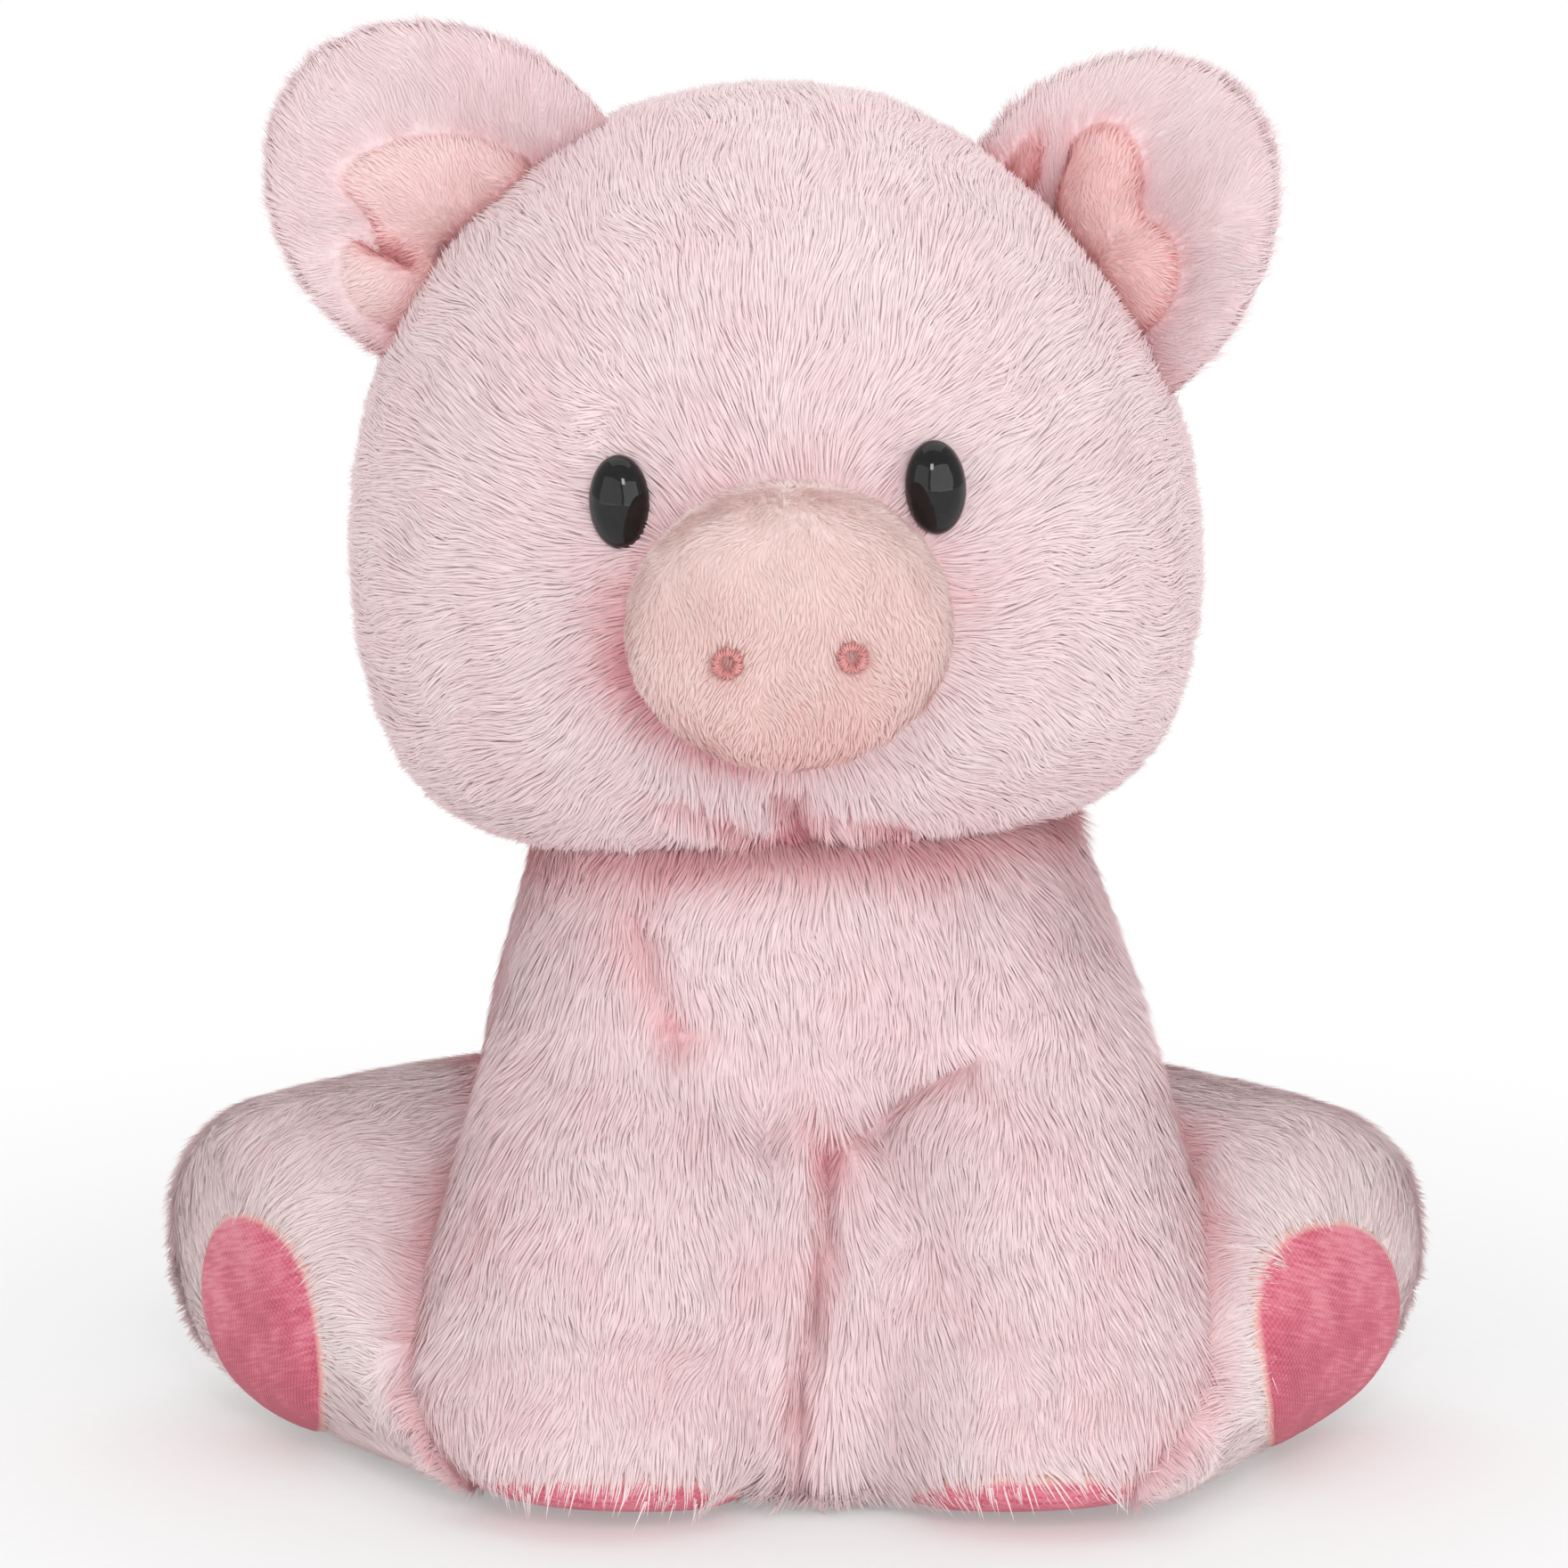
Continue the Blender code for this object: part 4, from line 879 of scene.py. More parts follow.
def body_cloth():
    """The body and both forelegs, with the neck, and the join between the forelegs."""
    covers = ("body_cover", "foreleg_cover_left", "foreleg_cover_right")
    solids = [cover_hull(name) for name in covers]
    shoulders = node_points(*covers)
    neck = ball(Vector(pivot("head_nod")) + Vector(NECK_SHIFT), NECK_SIZE)
    collar = np.array([vert.co for vert in neck.verts])
    neck.free()
    solids.append(hull(np.vstack([shoulders[shoulders[:, 2] > NECK_FOOT], collar])))
    forelegs = node_points(*covers[1:])
    joined = (np.abs(forelegs[:, 0] - FORELEGS_MEET) < FORELEG_BRIDGE) & (forelegs[:, 2] < BRIDGE_LEGS_TOP)
    chest = BVHTree.FromBMesh(solids[0]).ray_cast(Vector((FORELEGS_MEET, -1.0, BRIDGE_TOP)), Vector((0, 1, 0)))[0]
    solids.append(hull(np.vstack([forelegs[joined], np.array(chest)])))
    cloth = Cloth(solids, VOXEL, 8)
    x, y, z = cloth.place.T
    corner = np.clip(np.abs(x - FORELEGS_MEET) - PAW_CORNER, 0, None)
    low = np.clip(1 - z / PAW_CORNER_TOP, 0, 1) * np.clip((PAW_CORNER_BACK - y) / 0.025, 0, 1)
    cloth.move((PAW_ROUNDING * corner ** 2 * low)[:, None] * UP)
    cloth.sink(PILE)
    # Painted shade in the chest, arm and leg creases.
    cloth.press_front(BODY_CREASES, 0.28)
    cloth.thin_below(0.006, -0.8)
    x, y, z = cloth.place.T
    fringe = np.clip(1 - z / PAW_FRINGE_TOP, 0, 1) * (y < PAW_FRINGE_BACK)
    cloth.pile *= 1 + (0.25 + 0.35 * falloff(x - FORELEGS_MEET, 0.016)) * fringe
    cloth.tone += 0.04 + 0.14 * fringe
    cloth.comb = (4.0 + 10.0 * fringe)[:, None] * (cloth.place * (1, 1, 0)) - UP
    return cloth


def head_up():
    """The head's own upward direction, square to the line between its eyes."""
    across = Vector(node_points("eye_left").mean(0) - node_points("eye_right").mean(0)).normalized()
    return across.cross(Vector(BACK)).normalized()


def head_cloth():
    cloth = Cloth([cover_hull("head_cover")], VOXEL, 12, PILE)
    cloth.move(np.array([HEAD_SHIFT, 0.0, 0.0]))
    ear_gap = np.linalg.norm(cloth.place - pivot("ear_flop_left"), axis=1)
    cloth.sink(EAR_ROOT_DENT * falloff(ear_gap, EAR_ROOT_REACH))
    # Painted shade in the chin's notch, folds and pucker.
    cloth.press_front(CHIN_CREASES)
    snout = node_points("snout_band", "snout_disc").mean(0)
    middle = cloth.place.mean(0)
    radial = unit(cloth.place - (middle + (snout - middle) * 0.8))
    back = np.clip((cloth.place[:, 1] - middle[1]) / 0.05, 0, 1)[:, None]
    cloth.comb = radial * (1 - 0.8 * back) - UP * back
    for side in SIDES:
        distance = np.linalg.norm(cloth.place - node_points(f"eye_{side}").mean(0), axis=1)
        cloth.sink(EYE_DENT * falloff(distance, 0.010))
        cloth.density *= 1 - np.exp(-(distance / EYE_BARE) ** 4)
    around = np.linalg.norm((cloth.place - snout)[:, [0, 2]] / np.array([1.0, 0.86]), axis=1)
    cloth.density[(cloth.place[:, 1] < middle[1]) & (around < SNOUT_BARE)] = 0
    cloth.tone += 0.10
    return cloth


def leg_cloth(side):
    """A hind leg that runs on into the body at its hip, and down to the forefoot in front of it."""
    leg = node_points(f"hind_leg_cover_{side}", f"foot_pad_{side}")
    hip = pivot(f"hind_leg_swing_{side}")
    inward = level_way(leg.mean(0), hip)
    near = leg[(leg - leg.mean(0)) @ inward > 0]
    sign = math.copysign(1.0, leg[:, 0].mean())
    foreleg = node_points(f"foreleg_cover_{side}")
    beside = foreleg[(sign * foreleg[:, 0] > PAW_SIDE) & (foreleg[:, 2] < PAW_SIDE_TOP)]
    beside = beside - np.array([sign * 0.003, 0, 0])
    cloth = Cloth([hull(np.vstack([leg, near + inward * HIP_OVERLAP, beside]))], VOXEL, 6, PILE)
    run = (hip - cloth.place) @ inward
    cloth.move(-inward * (LEG_REACH[side] * np.clip(run / run.max(), 0, 1) ** 2)[:, None])
    cloth.comb = np.tile(-inward - 0.30 * UP, (len(cloth.place), 1))
    cloth.thin_below(0.010, -0.6)
    cloth.pile *= 0.80 - 0.4 * np.clip(1 - cloth.place[:, 2] / 0.012, 0, 1)
    # Painted light: the hind legs' pile is made paler to make up for the less light that reaches them.
    cloth.tone += 0.28
    return cloth


def front_sign(across):
    """1 where a direction along a sole points to the toy's front, and -1 where it points back."""
    return math.copysign(1.0, -across[1])


def pad_axes(side):
    """The sole's middle, its directions across, up and out, and its half sizes."""
    points = node_points(f"foot_pad_{side}")
    middle = points.mean(0)
    out = square_to(points, middle - pivot(f"hind_leg_swing_{side}"))
    across, up = flat_axes(out, UP)
    local = (points - middle) @ np.array([across, up]).T
    low, high = local.min(0), local.max(0)
    middle = middle + across * (low[0] + high[0]) / 2 + up * (low[1] + high[1]) / 2
    middle[0] -= math.copysign(PAD_SHIFT, middle[0])
    middle = middle + across * front_sign(across) * PAD_FORWARD[side] + up * PAD_LIFT
    turn = math.radians(math.copysign(PAD_TURN, middle[0] * across[0]))
    up, across = (up * math.cos(turn) + across * math.sin(turn), across * math.cos(turn) - up * math.sin(turn))
    return middle, across, up, out, (high - low) / 2 * np.array([PAD_SLIM[side], PAD_TALL])


def pad_piece(name, cloth, middle, across, up, out, half, lift):
    """A woven oval laid on a cloth, with its edge turned in."""
    tree = cloth.bvh()
    bm = bmesh.new()
    chart = bm.loops.layers.uv.new("weave")
    edge_share = bm.verts.layers.float.new("edge")
    rows, flat = [], {}
    for ring in range(PAD_RINGS + 1):
        row = []
        for spoke in range(PAD_SPOKES if ring else 1):
            share = ring / PAD_RINGS
            angle = 2 * math.pi * spoke / PAD_SPOKES
            x, y = share * half[0] * math.cos(angle), share * half[1] * math.sin(angle)
            above = Vector(middle + across * x + up * y + out * PAD_SEARCH)
            place, normal, _, _ = tree.ray_cast(above, Vector(-out), 2 * PAD_SEARCH)
            if place is None:
                place, normal, _, _ = tree.find_nearest(above - Vector(out) * PAD_SEARCH)
            edge = math.sqrt(max(0.0, 1 - share ** 6))
            vert = bm.verts.new(place + normal * lift * edge)
            vert[edge_share] = share
            flat[vert] = (x, y)
            row.append(vert)
        rows.append(row)
    for spoke in range(PAD_SPOKES):
        after = (spoke + 1) % PAD_SPOKES
        bm.faces.new((rows[0][0], rows[1][spoke], rows[1][after]))
        for inner, outer in zip(rows[1:-1], rows[2:]):
            bm.faces.new((inner[spoke], outer[spoke], outer[after], inner[after]))
    for face in bm.faces:
        for loop in face.loops:
            loop[chart].uv = flat[loop.vert]
    bmesh.ops.recalc_face_normals(bm, faces=bm.faces)
    if sum(face.normal.dot(Vector(out)) for face in bm.faces) < 0:
        bmesh.ops.reverse_faces(bm, faces=bm.faces)
    obj = new_object(name, mesh_of(bm, name), pad_cloth)
    wall = obj.modifiers.new("wall", "SOLIDIFY")
    wall.thickness = lift
    wall.offset = -1.0
    made = evaluated_mesh(obj)
    made.shade_smooth()
    return new_object(name, made)


def place_on_pad(cloth, middle, across, up, out, half):
    """Where a cloth's points lie on a pad: their offsets, as shares of its half sizes, and which are close to it."""
    local = cloth.place - middle
    return local, local @ across / half[0], local @ up / half[1], np.abs(local @ out) < PAD_NEAR


def bare_under(cloth, middle, across, up, out, half, rim):
    """Stop the fur where a pad is sewn, with a soft rim."""
    _, x, y, near = place_on_pad(cloth, middle, across, up, out, half + rim)
    near &= cloth.out @ out > -0.1
    share = np.hypot(x, y)
    cloth.density[near & (share < 1)] = 0
    cloth.pile[near & (share >= 1) & (share < 1.4)] *= 0.75


def fringe_over(cloth, middle, across, up, out, half):
    """Comb the fur in front of a sole over the sole's edge."""
    local, x, y, near = place_on_pad(cloth, middle, across, up, out, half)
    share = np.hypot(x, y)
    ahead = x * front_sign(across)
    front = np.clip((ahead + 0.5 * np.clip(y, 0, 1)) / np.maximum(share, 0.1), 0, 1)
    near &= (share > 1 - PAD_FRINGE / half[0]) & (share < 1.7) & (front > 0.25)
    cloth.comb[near] = 0.5 * cloth.comb[near] - 1.6 * unit(local[near])
    cloth.density[near & (share < 1.1)] = 0.8
    cloth.pile[near] = 0.72


def ear_frame(side):
    joint = joints[f"ear_flop_{side}"]
    across = Vector(joint["axis"]).normalized()
    up = Vector(EAR_UP[side])
    up = (up - across * up.dot(across)).normalized()
    turn = Matrix((across, up, across.cross(up))).transposed()
    return Matrix.Translation(joint["pos_m"]) @ turn.to_4x4()


def ear_cloth(side):
    """A puffed round flap whose sides curl forwards."""
    flap = ball((0, 0, 0), (1, 1, 1))
    width, height, thickness = EAR_HALF[side]
    shift, middle = EAR_MIDDLE[side]
    for vert in flap.verts:
        x, y, z = vert.co
        dish = EAR_DISH * max(0.0, z) * math.exp(-(x * x + (y + 0.2) ** 2) / 0.3)
        vert.co = (shift + x * width, middle + y * height, z * thickness + EAR_CUP * x * x - dish)
    place = ear_frame(side)
    flap.transform(place)
    cloth = Cloth([flap], FINE_VOXEL, 8, PILE)
    cloth.comb = unit(cloth.place - pivot(f"ear_flop_{side}")) + 0.4 * np.array(place.to_3x3() @ Vector((0, 1, 0)))
    cloth.pile *= 0.60
    cloth.tone += 0.12
    return cloth


def lining_of(side):
    """The puffs of an ear's lining, with the fold between them."""
    place = ear_frame(side)
    cloth = Cloth([ball(*puff, place) for puff in EAR_PUFFS[side]], FINE_VOXEL, 6, SHORT_PILE)
    local = np.array([place.inverted() @ Vector(point) for point in cloth.place])
    behind = EAR_CUP * ((local[:, 0] - EAR_MIDDLE[side][0]) / EAR_HALF[side][0]) ** 2 - LINING_DEPTH
    out = place.to_3x3() @ Vector((0, 0, 1))
    cloth.move(np.clip(behind - local[:, 2], 0, None)[:, None] * np.array(out))
    tree = cloth.bvh()
    hits = [tree.ray_cast(place @ Vector((x, y, 0.04)), -out)[0] for x, y in EAR_FOLDS[side]]
    # Painted shade: the folds between the puffs are pressed in and deepened in tone.
    cloth.press([hit for hit in hits if hit is not None], 0.0016, 0.0036, 0.75)
    cloth.comb = unit(cloth.place - np.array(place.translation))
    cloth.tone += LINING_TONE[side]
    return cloth


def drum_cloth():
    """The snout's drum: a puffed disc on a side band that runs into the head."""
    points = node_points("snout_band", "snout_disc")
    rear = points[points[:, 1] > points[:, 1].mean()] + np.array([0, SNOUT_OVERLAP, 0])
    cloth = Cloth([hull(np.vstack([points, rear]))], FINE_VOXEL, 10, SHORT_PILE)
    away = cloth.place - cloth.place.mean(0)
    # Painted shade and light: the pile is deepened towards the snout's underside and made paler where it faces up.
    cloth.tone += 20.0 * np.clip(away[:, 2] + 0.004, -0.020, 0.0) + 0.30 * np.clip(cloth.out[:, 2], 0.0, 1.0)
    for side in SIDES:
        distance = np.linalg.norm(cloth.place - node_points(f"nostril_{side}").mean(0), axis=1)
        dent = falloff(distance, 0.0022)
        cloth.sink(NOSTRIL_DENT * dent)
        cloth.tone -= 0.7 * dent
    cloth.comb = away * 0.3 - 0.014 * UP
    return cloth


def tail_cloth():
    roll = bmesh.new()
    roll.from_mesh(frame["nodes"]["tail"].data)
    bmesh.ops.remove_doubles(roll, verts=roll.verts, dist=1e-5)
    cloth = Cloth([roll], 0.0009, 6, SHORT_PILE)
    cloth.comb = np.tile((0.0, 1.0, -0.3), (len(cloth.place), 1))
    return cloth


def eye_piece(side):
    """A polished oval dome with a rounded rim, on its ridged shank."""
    washer = node_points(f"eye_washer_{side}")
    middle = washer.mean(0)
    out = square_to(washer, -BACK)
    across, up = flat_axes(out, np.array(head_up()))
    local = (node_points(f"eye_{side}") - middle) @ np.array([across, up, out]).T
    wide, tall = np.abs(local[:, 0]).max(), np.abs(local[:, 1]).max()
    crown, end = local[:, 2].max(), local[:, 2].min()
    rim = local[np.abs(local[:, 1]) > 0.8 * tall][:, 2].min()
    stem = SHANK_RADIUS / wide
    profile = [(0.0, end), (stem * 0.6, end), (stem, end + 0.0006)]
    for notch in range(SHANK_RIDGES):
        base = end + 0.0012 + notch * RIDGE_PITCH
        profile += [(stem, base), (stem * 0.8, base + 0.0002), (stem * 0.8, base + 0.0005), (stem, base + 0.0007)]
    profile += [(stem, rim), (0.80, rim), (0.95, rim + 0.0002), (0.995, rim + 0.0007)]
    for step in range(DOME_STEPS + 1):
        angle = math.pi / 2 * step / DOME_STEPS
        profile.append((math.cos(angle) ** 0.92, rim + EYE_RIM + (crown - rim - EYE_RIM) * math.sin(angle)))
    bm = bmesh.new()
    rows = []
    for share, height in profile:
        deep = tall if share > stem * 1.01 else wide
        turns = [2 * math.pi * spoke / EYE_SPOKES for spoke in range(1 if share < 1e-6 else EYE_SPOKES)]
        rows.append([bm.verts.new(
            middle + across * (share * wide * math.cos(angle)) + up * (share * deep * math.sin(angle)) + out * height,
        ) for angle in turns])
    for under, over in zip(rows, rows[1:]):
        for spoke in range(EYE_SPOKES):
            after = (spoke + 1) % EYE_SPOKES
            ring = [under[spoke % len(under)], under[after % len(under)],
                    over[after % len(over)], over[spoke % len(over)]]
            corners = list(dict.fromkeys(ring))
            if len(corners) > 2:
                bm.faces.new(corners)
    bmesh.ops.recalc_face_normals(bm, faces=bm.faces)
    mesh = mesh_of(bm, f"eye_dome_{side}")
    mesh.shade_smooth()
    return new_object(f"eye_dome_{side}", mesh, eye_plastic)


def stitch_nodes():
    """Stitches laid side by side round a ring, each a bent thread."""
    tree, given = node_tree("ring_stitches", "GeometryNodeTree", (
        ("Ring", "Geometry"), ("Ring radius", "Float", 0.0018), ("Thread radius", "Float", 0.00022),
        ("Stitch width", "Float", 0.0012), ("Count", "Int", 28), ("Thread", "Material"),
    ), ("Stitches", "Geometry"))
    ring = add(tree, "GeometryNodeCurvePrimitiveCircle", {
        "Resolution": given["Count"], "Radius": given["Ring radius"]}, mode="RADIUS")
    half = maths(tree, "MULTIPLY", given["Stitch width"], 0.5)
    arch = add(tree, "GeometryNodeCurveQuadraticBezier", {
        "Resolution": 5, "Start": vector_of(tree, X=maths(tree, "MULTIPLY", half, -1.0), Z=-0.0004),
        "Middle": (0, 0, 0.0012), "End": vector_of(tree, X=half, Z=-0.0004)})
    round_it = add(tree, "GeometryNodeCurvePrimitiveCircle", {
        "Resolution": 6, "Radius": given["Thread radius"]}, mode="RADIUS")
    stitch = add(tree, "GeometryNodeCurveToMesh", {
        "Curve": arch.outputs[0], "Profile Curve": round_it.outputs[0], "Fill Caps": True})
    place = add(tree, "GeometryNodeInputPosition").outputs[0]
    radial = vector_maths(tree, "ADD", vector_maths(tree, "NORMALIZE", place),
                          shake_of(tree, random_colour(tree, place), 0.8))
    turn = add(tree, "FunctionNodeAxesToRotation", {
        "Primary Axis": (0, 0, 1), "Secondary Axis": radial}, primary_axis="Z", secondary_axis="X")
    laid = add(tree, "GeometryNodeInstanceOnPoints", {
        "Points": ring.outputs[0], "Instance": stitch.outputs[0], "Rotation": turn.outputs[0],
        "Scale": random_value(tree, 0.85, 1.15, 9)})
    finish_nodes(tree, laid, given["Thread"], "Stitches")
    return tree


def finish_nodes(tree, laid, material, output):
    """Turn laid instances into one smooth mesh with its material."""
    solid = add(tree, "GeometryNodeRealizeInstances", {"Geometry": laid.outputs[0]}).outputs[0]
    smooth = add(tree, "GeometryNodeSetShadeSmooth", {"Geometry": solid}).outputs[0]
    coated = add(tree, "GeometryNodeSetMaterial", {"Geometry": smooth, "Material": material}).outputs[0]
    add(tree, "NodeGroupOutput", {output: coated})


def nostril_piece(side, tree):
    """An embroidered ring, sewn onto the snout."""
    points = node_points(f"nostril_{side}")
    out = Vector(square_to(points, -BACK))
    across = Vector((0, 0, 1)).cross(out).normalized()
    place = Matrix((across, out.cross(across), out)).transposed().to_4x4()
    name = f"nostril_stitches_{side}"
    mesh = made_by(tree, name, bpy.data.meshes.new("ring"), Thread=thread)
    mesh.transform(Matrix.Translation(points.mean(0)) @ place)
    return new_object(name, mesh)


def move_between(cloth, other, least, most):
    """Move a cloth's points to between two depths under another's skin, each by 12 mm at most."""
    tree = other.bvh()
    offsets = np.zeros_like(cloth.place)
    for index, place in enumerate(cloth.place):
        found, _, normal = depth_under(tree, place)
        step = found - min(max(found, least), most)
        offsets[index] = np.array(normal) * min(max(step, -0.012), 0.012)
    cloth.move(offsets)


def wadding(name, node, covers, inset, apart=None):
    """A lump of loose fibre, kept inside the cloths that hold it and clear of one that moves beside it."""
    cloth = Cloth([cover_hull(node)], 0.0030, 4, 0.0010)
    x, y, z = cloth.place.T
    lumps = np.sin(310 * x + 3 * np.sin(240 * z)) * np.sin(290 * y + 2 * np.sin(260 * x))
    cloth.sink(0.0012 * (1 + lumps))
    if apart:
        move_between(cloth, apart, -math.inf, -WADDING_GAP)
    for holder in covers:
        move_between(cloth, holder, inset, math.inf)
    cloth.mesh.shade_smooth()
    piece = new_object(name, cloth.mesh, fibre)
    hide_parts(node)
    return piece


def pouch_piece():
    """The sewn bag in the seat, puckered along its side seam."""
    cloth = Cloth([cover_hull("seat_pouch")], 0.0015, 6)
    away = cloth.place - cloth.place.mean(0)
    turn = np.arctan2(away[:, 1], away[:, 0])
    side = falloff(away[:, 2], 0.45 * np.abs(away[:, 2]).max())
    cloth.sink(0.0006)
    cloth.sink(0.0009 * side * (1 + np.sin(POUCH_PUCKERS * turn)))
    cloth.mesh.shade_smooth()
    piece = new_object("pouch", cloth.mesh, pouch_cloth)
    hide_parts("seat_pouch")
    return piece


def bead_nodes():
    """Beads that fill the inside of a closed skin, a little out of line."""
    tree, given = node_tree("beads", "GeometryNodeTree", (
        ("Skin", "Geometry"), ("Spacing", "Float", 0.0030), ("Bead radius", "Float", 0.0016), ("Seed", "Int", 7),
        ("Plastic", "Material"),
    ), ("Beads", "Geometry"))
    fog = add(tree, "GeometryNodeMeshToVolume", {
        "Mesh": given["Skin"], "Density": 1.0, "Voxel Size": 0.0012, "Interior Band Width": 0.05,
    }, resolution_mode="VOXEL_SIZE")
    inside = add(tree, "GeometryNodeDistributePointsInVolume", {
        "Volume": fog.outputs[0], "Threshold": 0.5,
        "Spacing": vector_of(tree, X=given["Spacing"], Y=given["Spacing"], Z=given["Spacing"]),
    }, mode="DENSITY_GRID")
    shake = add(tree, "FunctionNodeRandomValue", {
        0: (-0.0005, -0.0005, -0.0005), 1: (0.0005, 0.0005, 0.0005), "Seed": given["Seed"]}, data_type="FLOAT_VECTOR")
    loose = add(tree, "GeometryNodeSetPosition", {"Geometry": inside.outputs[0], "Offset": shake.outputs[0]})
    bead = add(tree, "GeometryNodeMeshUVSphere", {"Segments": 6, "Rings": 4, "Radius": given["Bead radius"]})
    laid = add(tree, "GeometryNodeInstanceOnPoints", {
        "Points": loose.outputs[0], "Instance": bead.outputs[0], "Scale": random_value(tree, 0.85, 1.0, 3)})
    finish_nodes(tree, laid, given["Plastic"], "Beads")
    return tree


def pellets_piece():
    cloth = Cloth([cover_hull("seat_pellets")], 0.0015, 4, 0.0024)
    piece = new_object("pellet_beads", made_by(bead_nodes(), "pellets_skin", cloth.mesh, Plastic=pellet_plastic))
    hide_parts("seat_pellets")
    return piece


body = body_cloth()
head = head_cloth()
legs = {side: leg_cloth(side) for side in SIDES}
ears = {side: ear_cloth(side) for side in SIDES}
linings = {side: lining_of(side) for side in SIDES}
snout = drum_cloth()
tail = tail_cloth()


def paw_axes(side):
    """The pad under a forefoot, turned up at its front."""
    low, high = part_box(f"paw_pad_{side}")
    tilt = math.radians(PAW_TILT)
    middle = np.array([(low.x + high.x) / 2, low.y + PAW_SET_BACK, PAW_LIFT])
    half = np.array([(high.x - low.x) / 2, PAW_HALF_LENGTH])
    up = np.array([0, -math.cos(tilt), math.sin(tilt)])
    return middle, np.array([1.0, 0, 0]), up, np.array([0, -math.sin(tilt), -math.cos(tilt)]), half


for side in SIDES:
    hip = inside_depth(body, legs[side]) > 0.003
    body.density[hip & (body.place[:, 1] > -0.030)] = 0
    axes = pad_axes(side)
    bare_under(legs[side], *axes, 0.0012)
    fringe_over(legs[side], *axes)
    pad = pad_piece(f"sole_{side}", legs[side], *axes, PAD_THICKNESS)
    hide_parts(f"foot_pad_{side}")
    dress([pad], f"hind_leg_{side}", slot="pad_cloth")
    axes = paw_axes(side)
    bare_under(body, *axes, 0.0004)
    paw = pad_piece(f"paw_sole_{side}", body, *axes, PAD_THICKNESS)
    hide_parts(f"paw_pad_{side}")
    dress([paw], "trunk", slot="pad_cloth")

for side in SIDES:
    tuck_into(ears[side], head, 0.0025)
    tuck_into(linings[side], head, 0.0030)
    hide_inside(ears[side], head, depth=0.0010)
    hide_inside(ears[side], linings[side], depth=-0.0004)
    hide_inside(linings[side], head, depth=0.0010)
    hide_inside(linings[side], ears[side], depth=0.0006)
    sunk = inside_depth(legs[side], body)
    shown_in_swing = (legs[side].place[:, 1] < SHOWN_FRONT) & (sunk < SHOWN_DEPTH)
    legs[side].density *= np.where(sunk > 0.0010, np.where(shown_in_swing, 0.4, 0.0), 1.0)
tuck_into(tail, body, 0.0020)
hide_inside(tail, body, depth=0.0008)
hide_inside(body, head)
hide_inside(head, body)
hide_inside(head, snout, depth=0.0006)
hide_inside(snout, head, depth=0.0005)

# Painted shade along the seams where pieces meet, deepest on the snout's underside towards the toy's right.
seam_shade(head, snout, 0.0022, 0.06)
seam_shade(head, snout, 0.0058, 1.10, SNOUT_SHADED_SIDE)
seam_shade(snout, head, 0.0025, 0.06)
seam_shade(snout, head, 0.0030, 0.70, SNOUT_SHADED_SIDE)
seam_shade(head, body, 0.0035, 0.30)
seam_shade(body, head, 0.0040, 0.30)
for side in SIDES:
    seam_shade(legs[side], body, 0.0038, 0.40)
    seam_shade(body, legs[side], 0.0035, 0.25)
    seam_shade(ears[side], linings[side], 0.0014, LINING_SEAM_SHADE[side])
    seam_shade(linings[side], ears[side], 0.0014, LINING_SEAM_SHADE[side])
    seam_shade(ears[side], head, 0.0026, 0.22)
    seam_shade(linings[side], head, 0.0026, 0.35)

# Painted shade: the pile is deepened in tone in folds and hollows where other cloth blocks the light.
fold_shade([body, head, *legs.values(), *ears.values(), *linings.values(), snout, tail])

short_pile = {"Strand length": SHORT_LENGTH, "Strand width": SHORT_WIDTH, "Strands per area": SHORT_PER_AREA,
              "Rise": 0.40, "Swirl": 1.6, "Tuft spacing": 0.0022, "Tuft pull": 0.3}
neck = ("trunk", "head", *((0.0, 0.0, height) for height in NECK_BEND))
cover(body, "body_cloth", fur_cloth, 0.75, ("body_cover", "foreleg_cover_left", "foreleg_cover_right"),
      "body_fur", fur_hair, neck, 5)
cover(head, "head_cloth", fur_cloth, 0.85, ("head_cover",), "head_fur", fur_hair, ("head",), 5)
for side, leg in legs.items():
    hip = pivot(f"hind_leg_swing_{side}")
    outward = level_way(hip, leg.place.mean(0))
    bend = ("trunk", f"hind_leg_{side}", *(tuple(hip + outward * reach) for reach in HIP_BEND))
    cover(leg, f"hind_leg_cloth_{side}", fur_cloth, 0.7, (f"hind_leg_cover_{side}",),
          f"hind_leg_fur_{side}", fur_hair, bend, 2, Rise=0.12)
for side in SIDES:
    bend = ("head", f"ear_{side}", *(tuple(ear_frame(side) @ Vector((0, reach, 0))) for reach in EAR_BEND))
    cover(ears[side], f"ear_cloth_{side}", fur_cloth, 0.5, (f"ear_cover_{side}",), f"ear_fur_{side}", fur_hair, bend)
    cover(linings[side], f"ear_lining_cloth_{side}", lining_cloth, 0.5, (f"ear_lining_{side}",),
          f"ear_lining_pile_{side}", lining_hair, bend, slot="short_pile", **short_pile)
cover(snout, "snout_cloth", snout_cloth, 0.8, ("snout_band", "snout_disc"), "snout_pile", snout_hair, ("head",),
      slot="short_pile", **short_pile)
tail_root = pivot("tail_wag")
cover(tail, "tail_cloth", fur_cloth, 0.7, ("tail",), "tail_pile", fur_hair,
      ("trunk", "tail", tuple(tail_root - 0.001 * BACK), tuple(tail_root + 0.005 * BACK)), **short_pile)

stitches = stitch_nodes()
for side in SIDES:
    eye = eye_piece(side)
    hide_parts(f"eye_{side}")
    dress([eye], "head", slot="eye_plastic")
    nostril = nostril_piece(side, stitches)
    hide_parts(f"nostril_{side}")
    dress([nostril], "head", slot="thread")
    frame["nodes"][f"eye_washer_{side}"].material_slots[0].material = washer_plastic

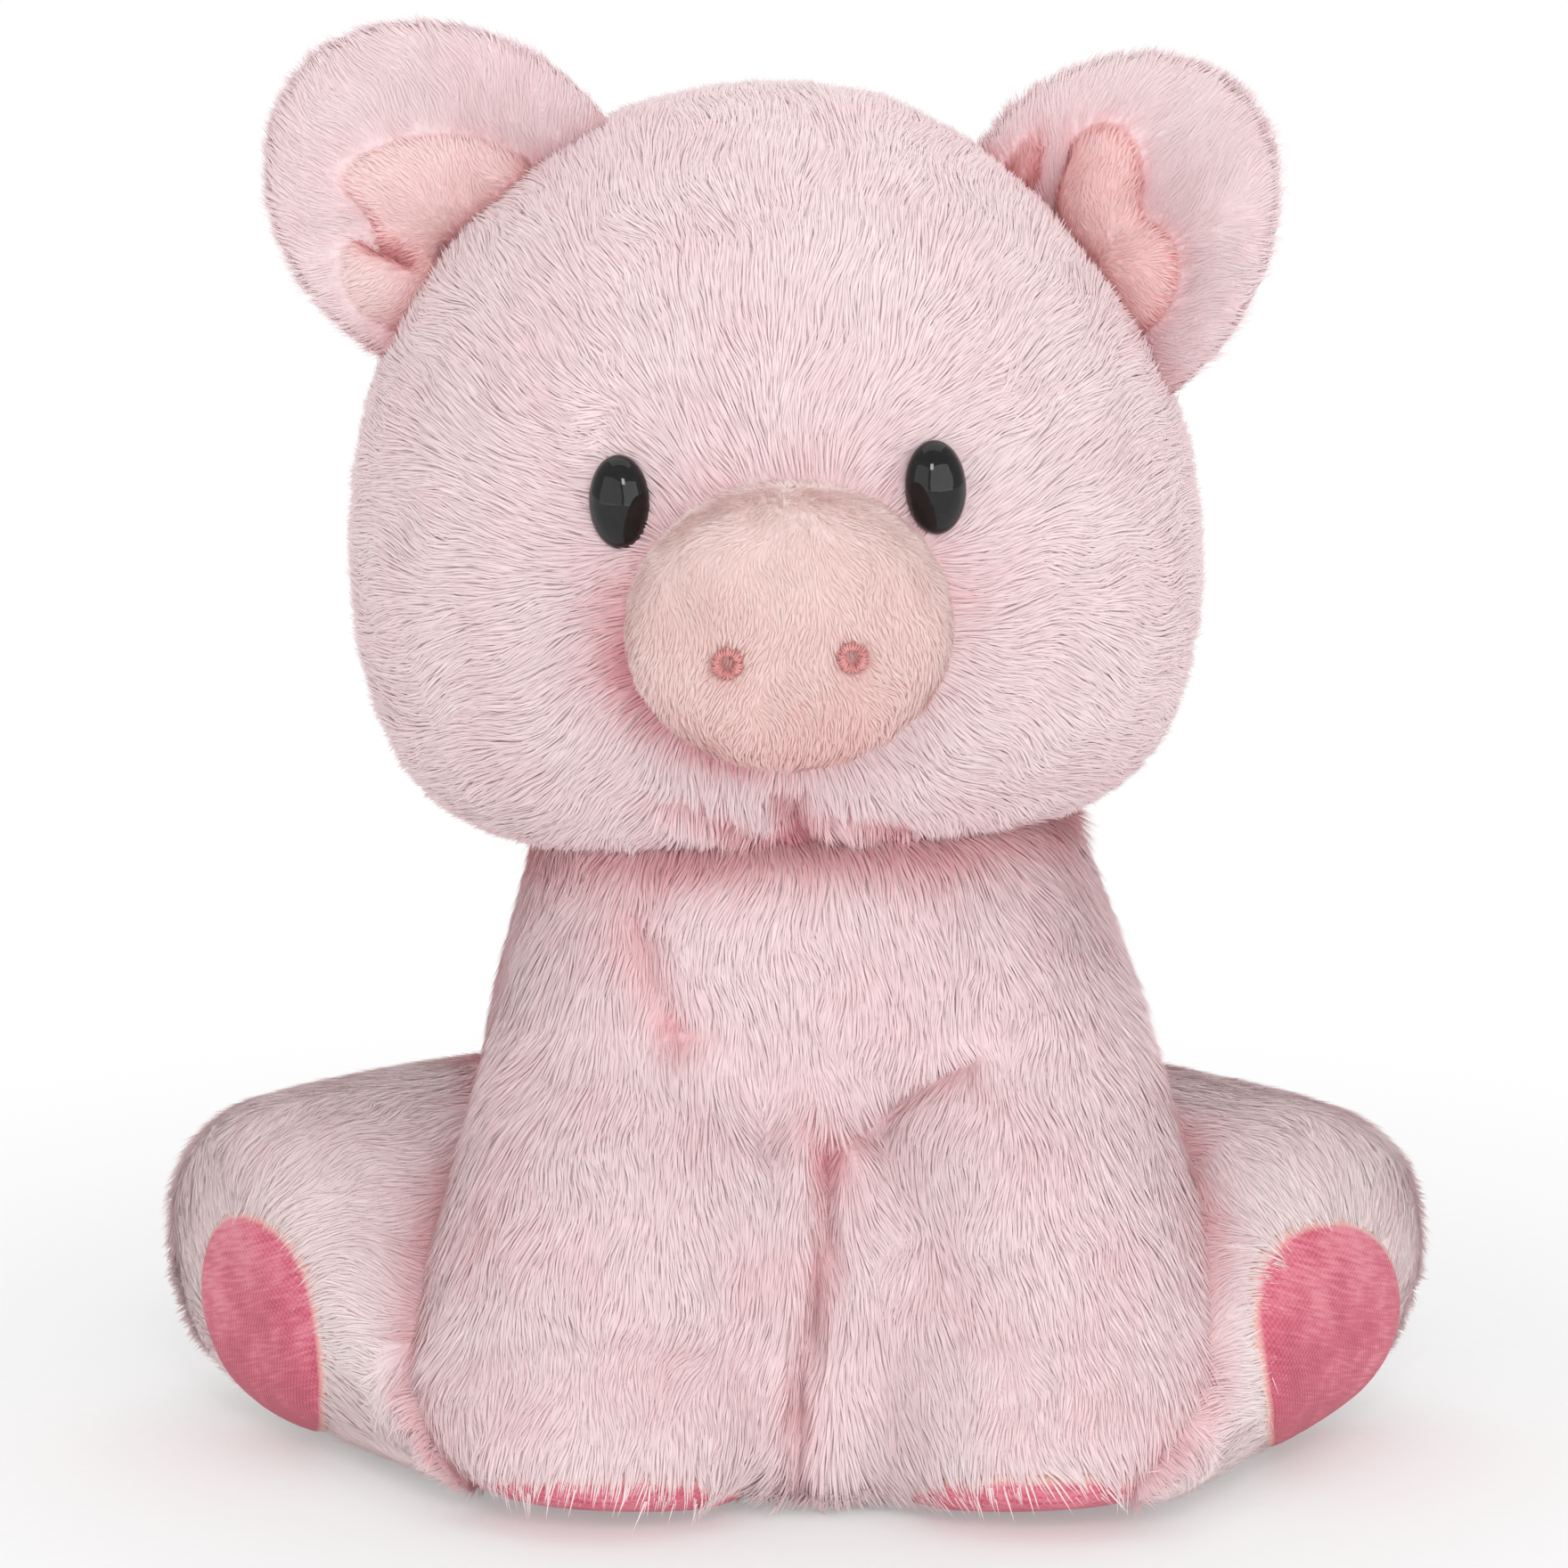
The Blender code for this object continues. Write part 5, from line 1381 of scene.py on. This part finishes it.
dress([pouch_piece()], "trunk", slot="pouch_cloth")
dress([pellets_piece()], "trunk", slot="pellets")
dress([wadding("body_wadding", "body_filling", [body], 0.0015)], "trunk", slot="fibre")
dress([wadding("head_wadding", "head_filling", [head], 0.0015)], "head", slot="fibre")
dress([wadding("snout_wadding", "snout_filling", [snout], 0.0010)], "head", slot="fibre")
for side, leg in legs.items():
    dress([wadding(f"foreleg_wadding_{side}", f"foreleg_filling_{side}", [body], 0.0015)], "trunk", slot="fibre")
    dress([wadding(f"hind_leg_wadding_{side}", f"hind_leg_filling_{side}", [leg], 0.0015, body)],
          f"hind_leg_{side}", slot="fibre")


def make_stage():
    bpy.ops.mesh.primitive_plane_add(size=6.0, location=(0, 0, 0))
    floor = bpy.context.object
    floor.name = "floor"
    made, tree, shader = new_material("floor", Roughness=0.8)
    place = object_place(tree)
    fade = add(tree, "ShaderNodeMapRange", {
        "Value": vector_maths(tree, "LENGTH", place), "To Min": 0.30, "To Max": 1.0,
        "From Min": SHADOW_FADE[0], "From Max": SHADOW_FADE[1],
    }, interpolation_type="SMOOTHSTEP").outputs[0]
    grain = noise(tree, place, 400.0)["Fac"]
    tree.links.new(ramp(tree, grain, (0.3, (0.93, 0.93, 0.93, 1)), (0.7, (0.95, 0.95, 0.95, 1))),
                   shader.inputs["Base Color"])
    white = add(tree, "ShaderNodeEmission", {"Color": (1, 1, 1, 1), "Strength": 1.0})
    path = add(tree, "ShaderNodeLightPath").outputs
    seen = maths(tree, "MAXIMUM", path["Is Camera Ray"], maths(
        tree, "MAXIMUM", path["Is Glossy Ray"], path["Is Transmission Ray"]))
    blend = add(tree, "ShaderNodeMixShader", {
        0: maths(tree, "MULTIPLY", fade, seen), 1: shader.outputs[0], 2: white.outputs[0]})
    tree.links.new(blend.outputs[0], tree.nodes["Material Output"].inputs["Surface"])
    floor.data.materials.append(made)


def make_world():
    world = bpy.data.worlds.new("studio")
    world.use_nodes = True
    tree = world.node_tree
    ground = tree.nodes["Background"]
    ground.inputs["Color"].default_value = (1.0, 1.0, 1.0, 1.0)
    ground.inputs["Strength"].default_value = WORLD_LIGHT
    shown = add(tree, "ShaderNodeBackground", {"Color": (1, 1, 1, 1), "Strength": 1.0})
    path = add(tree, "ShaderNodeLightPath").outputs
    mix = add(tree, "ShaderNodeMixShader", {0: path["Is Camera Ray"], 1: ground.outputs[0], 2: shown.outputs[0]})
    tree.links.new(mix.outputs[0], tree.nodes["World Output"].inputs["Surface"])
    bpy.context.scene.world = world


def make_lamp(name, place, target, size, power):
    lamp = bpy.data.lights.new(name, "AREA")
    lamp.shape = "SQUARE"
    lamp.size = size
    lamp.energy = power
    obj = bpy.data.objects.new(name, lamp)
    obj.location = place
    obj.rotation_euler = (Vector(target) - Vector(place)).to_track_quat("-Z", "Y").to_euler()
    bpy.context.scene.collection.objects.link(obj)


def make_camera():
    lens = bpy.data.cameras.new("camera")
    lens.sensor_width = SENSOR
    lens.sensor_fit = "HORIZONTAL"
    lens.lens = SENSOR * CAMERA_DISTANCE / PICTURE_WIDTH
    camera = bpy.data.objects.new("camera", lens)
    camera.location = CAMERA_PLACE
    camera.rotation_euler = (math.radians(CAMERA_TILT), 0.0, 0.0)
    bpy.context.scene.collection.objects.link(camera)
    bpy.context.scene.camera = camera


make_stage()
make_world()
for name, lamp in LAMPS.items():
    make_lamp(name, *lamp)
make_camera()
bpy.context.scene.view_settings.view_transform = "Standard"
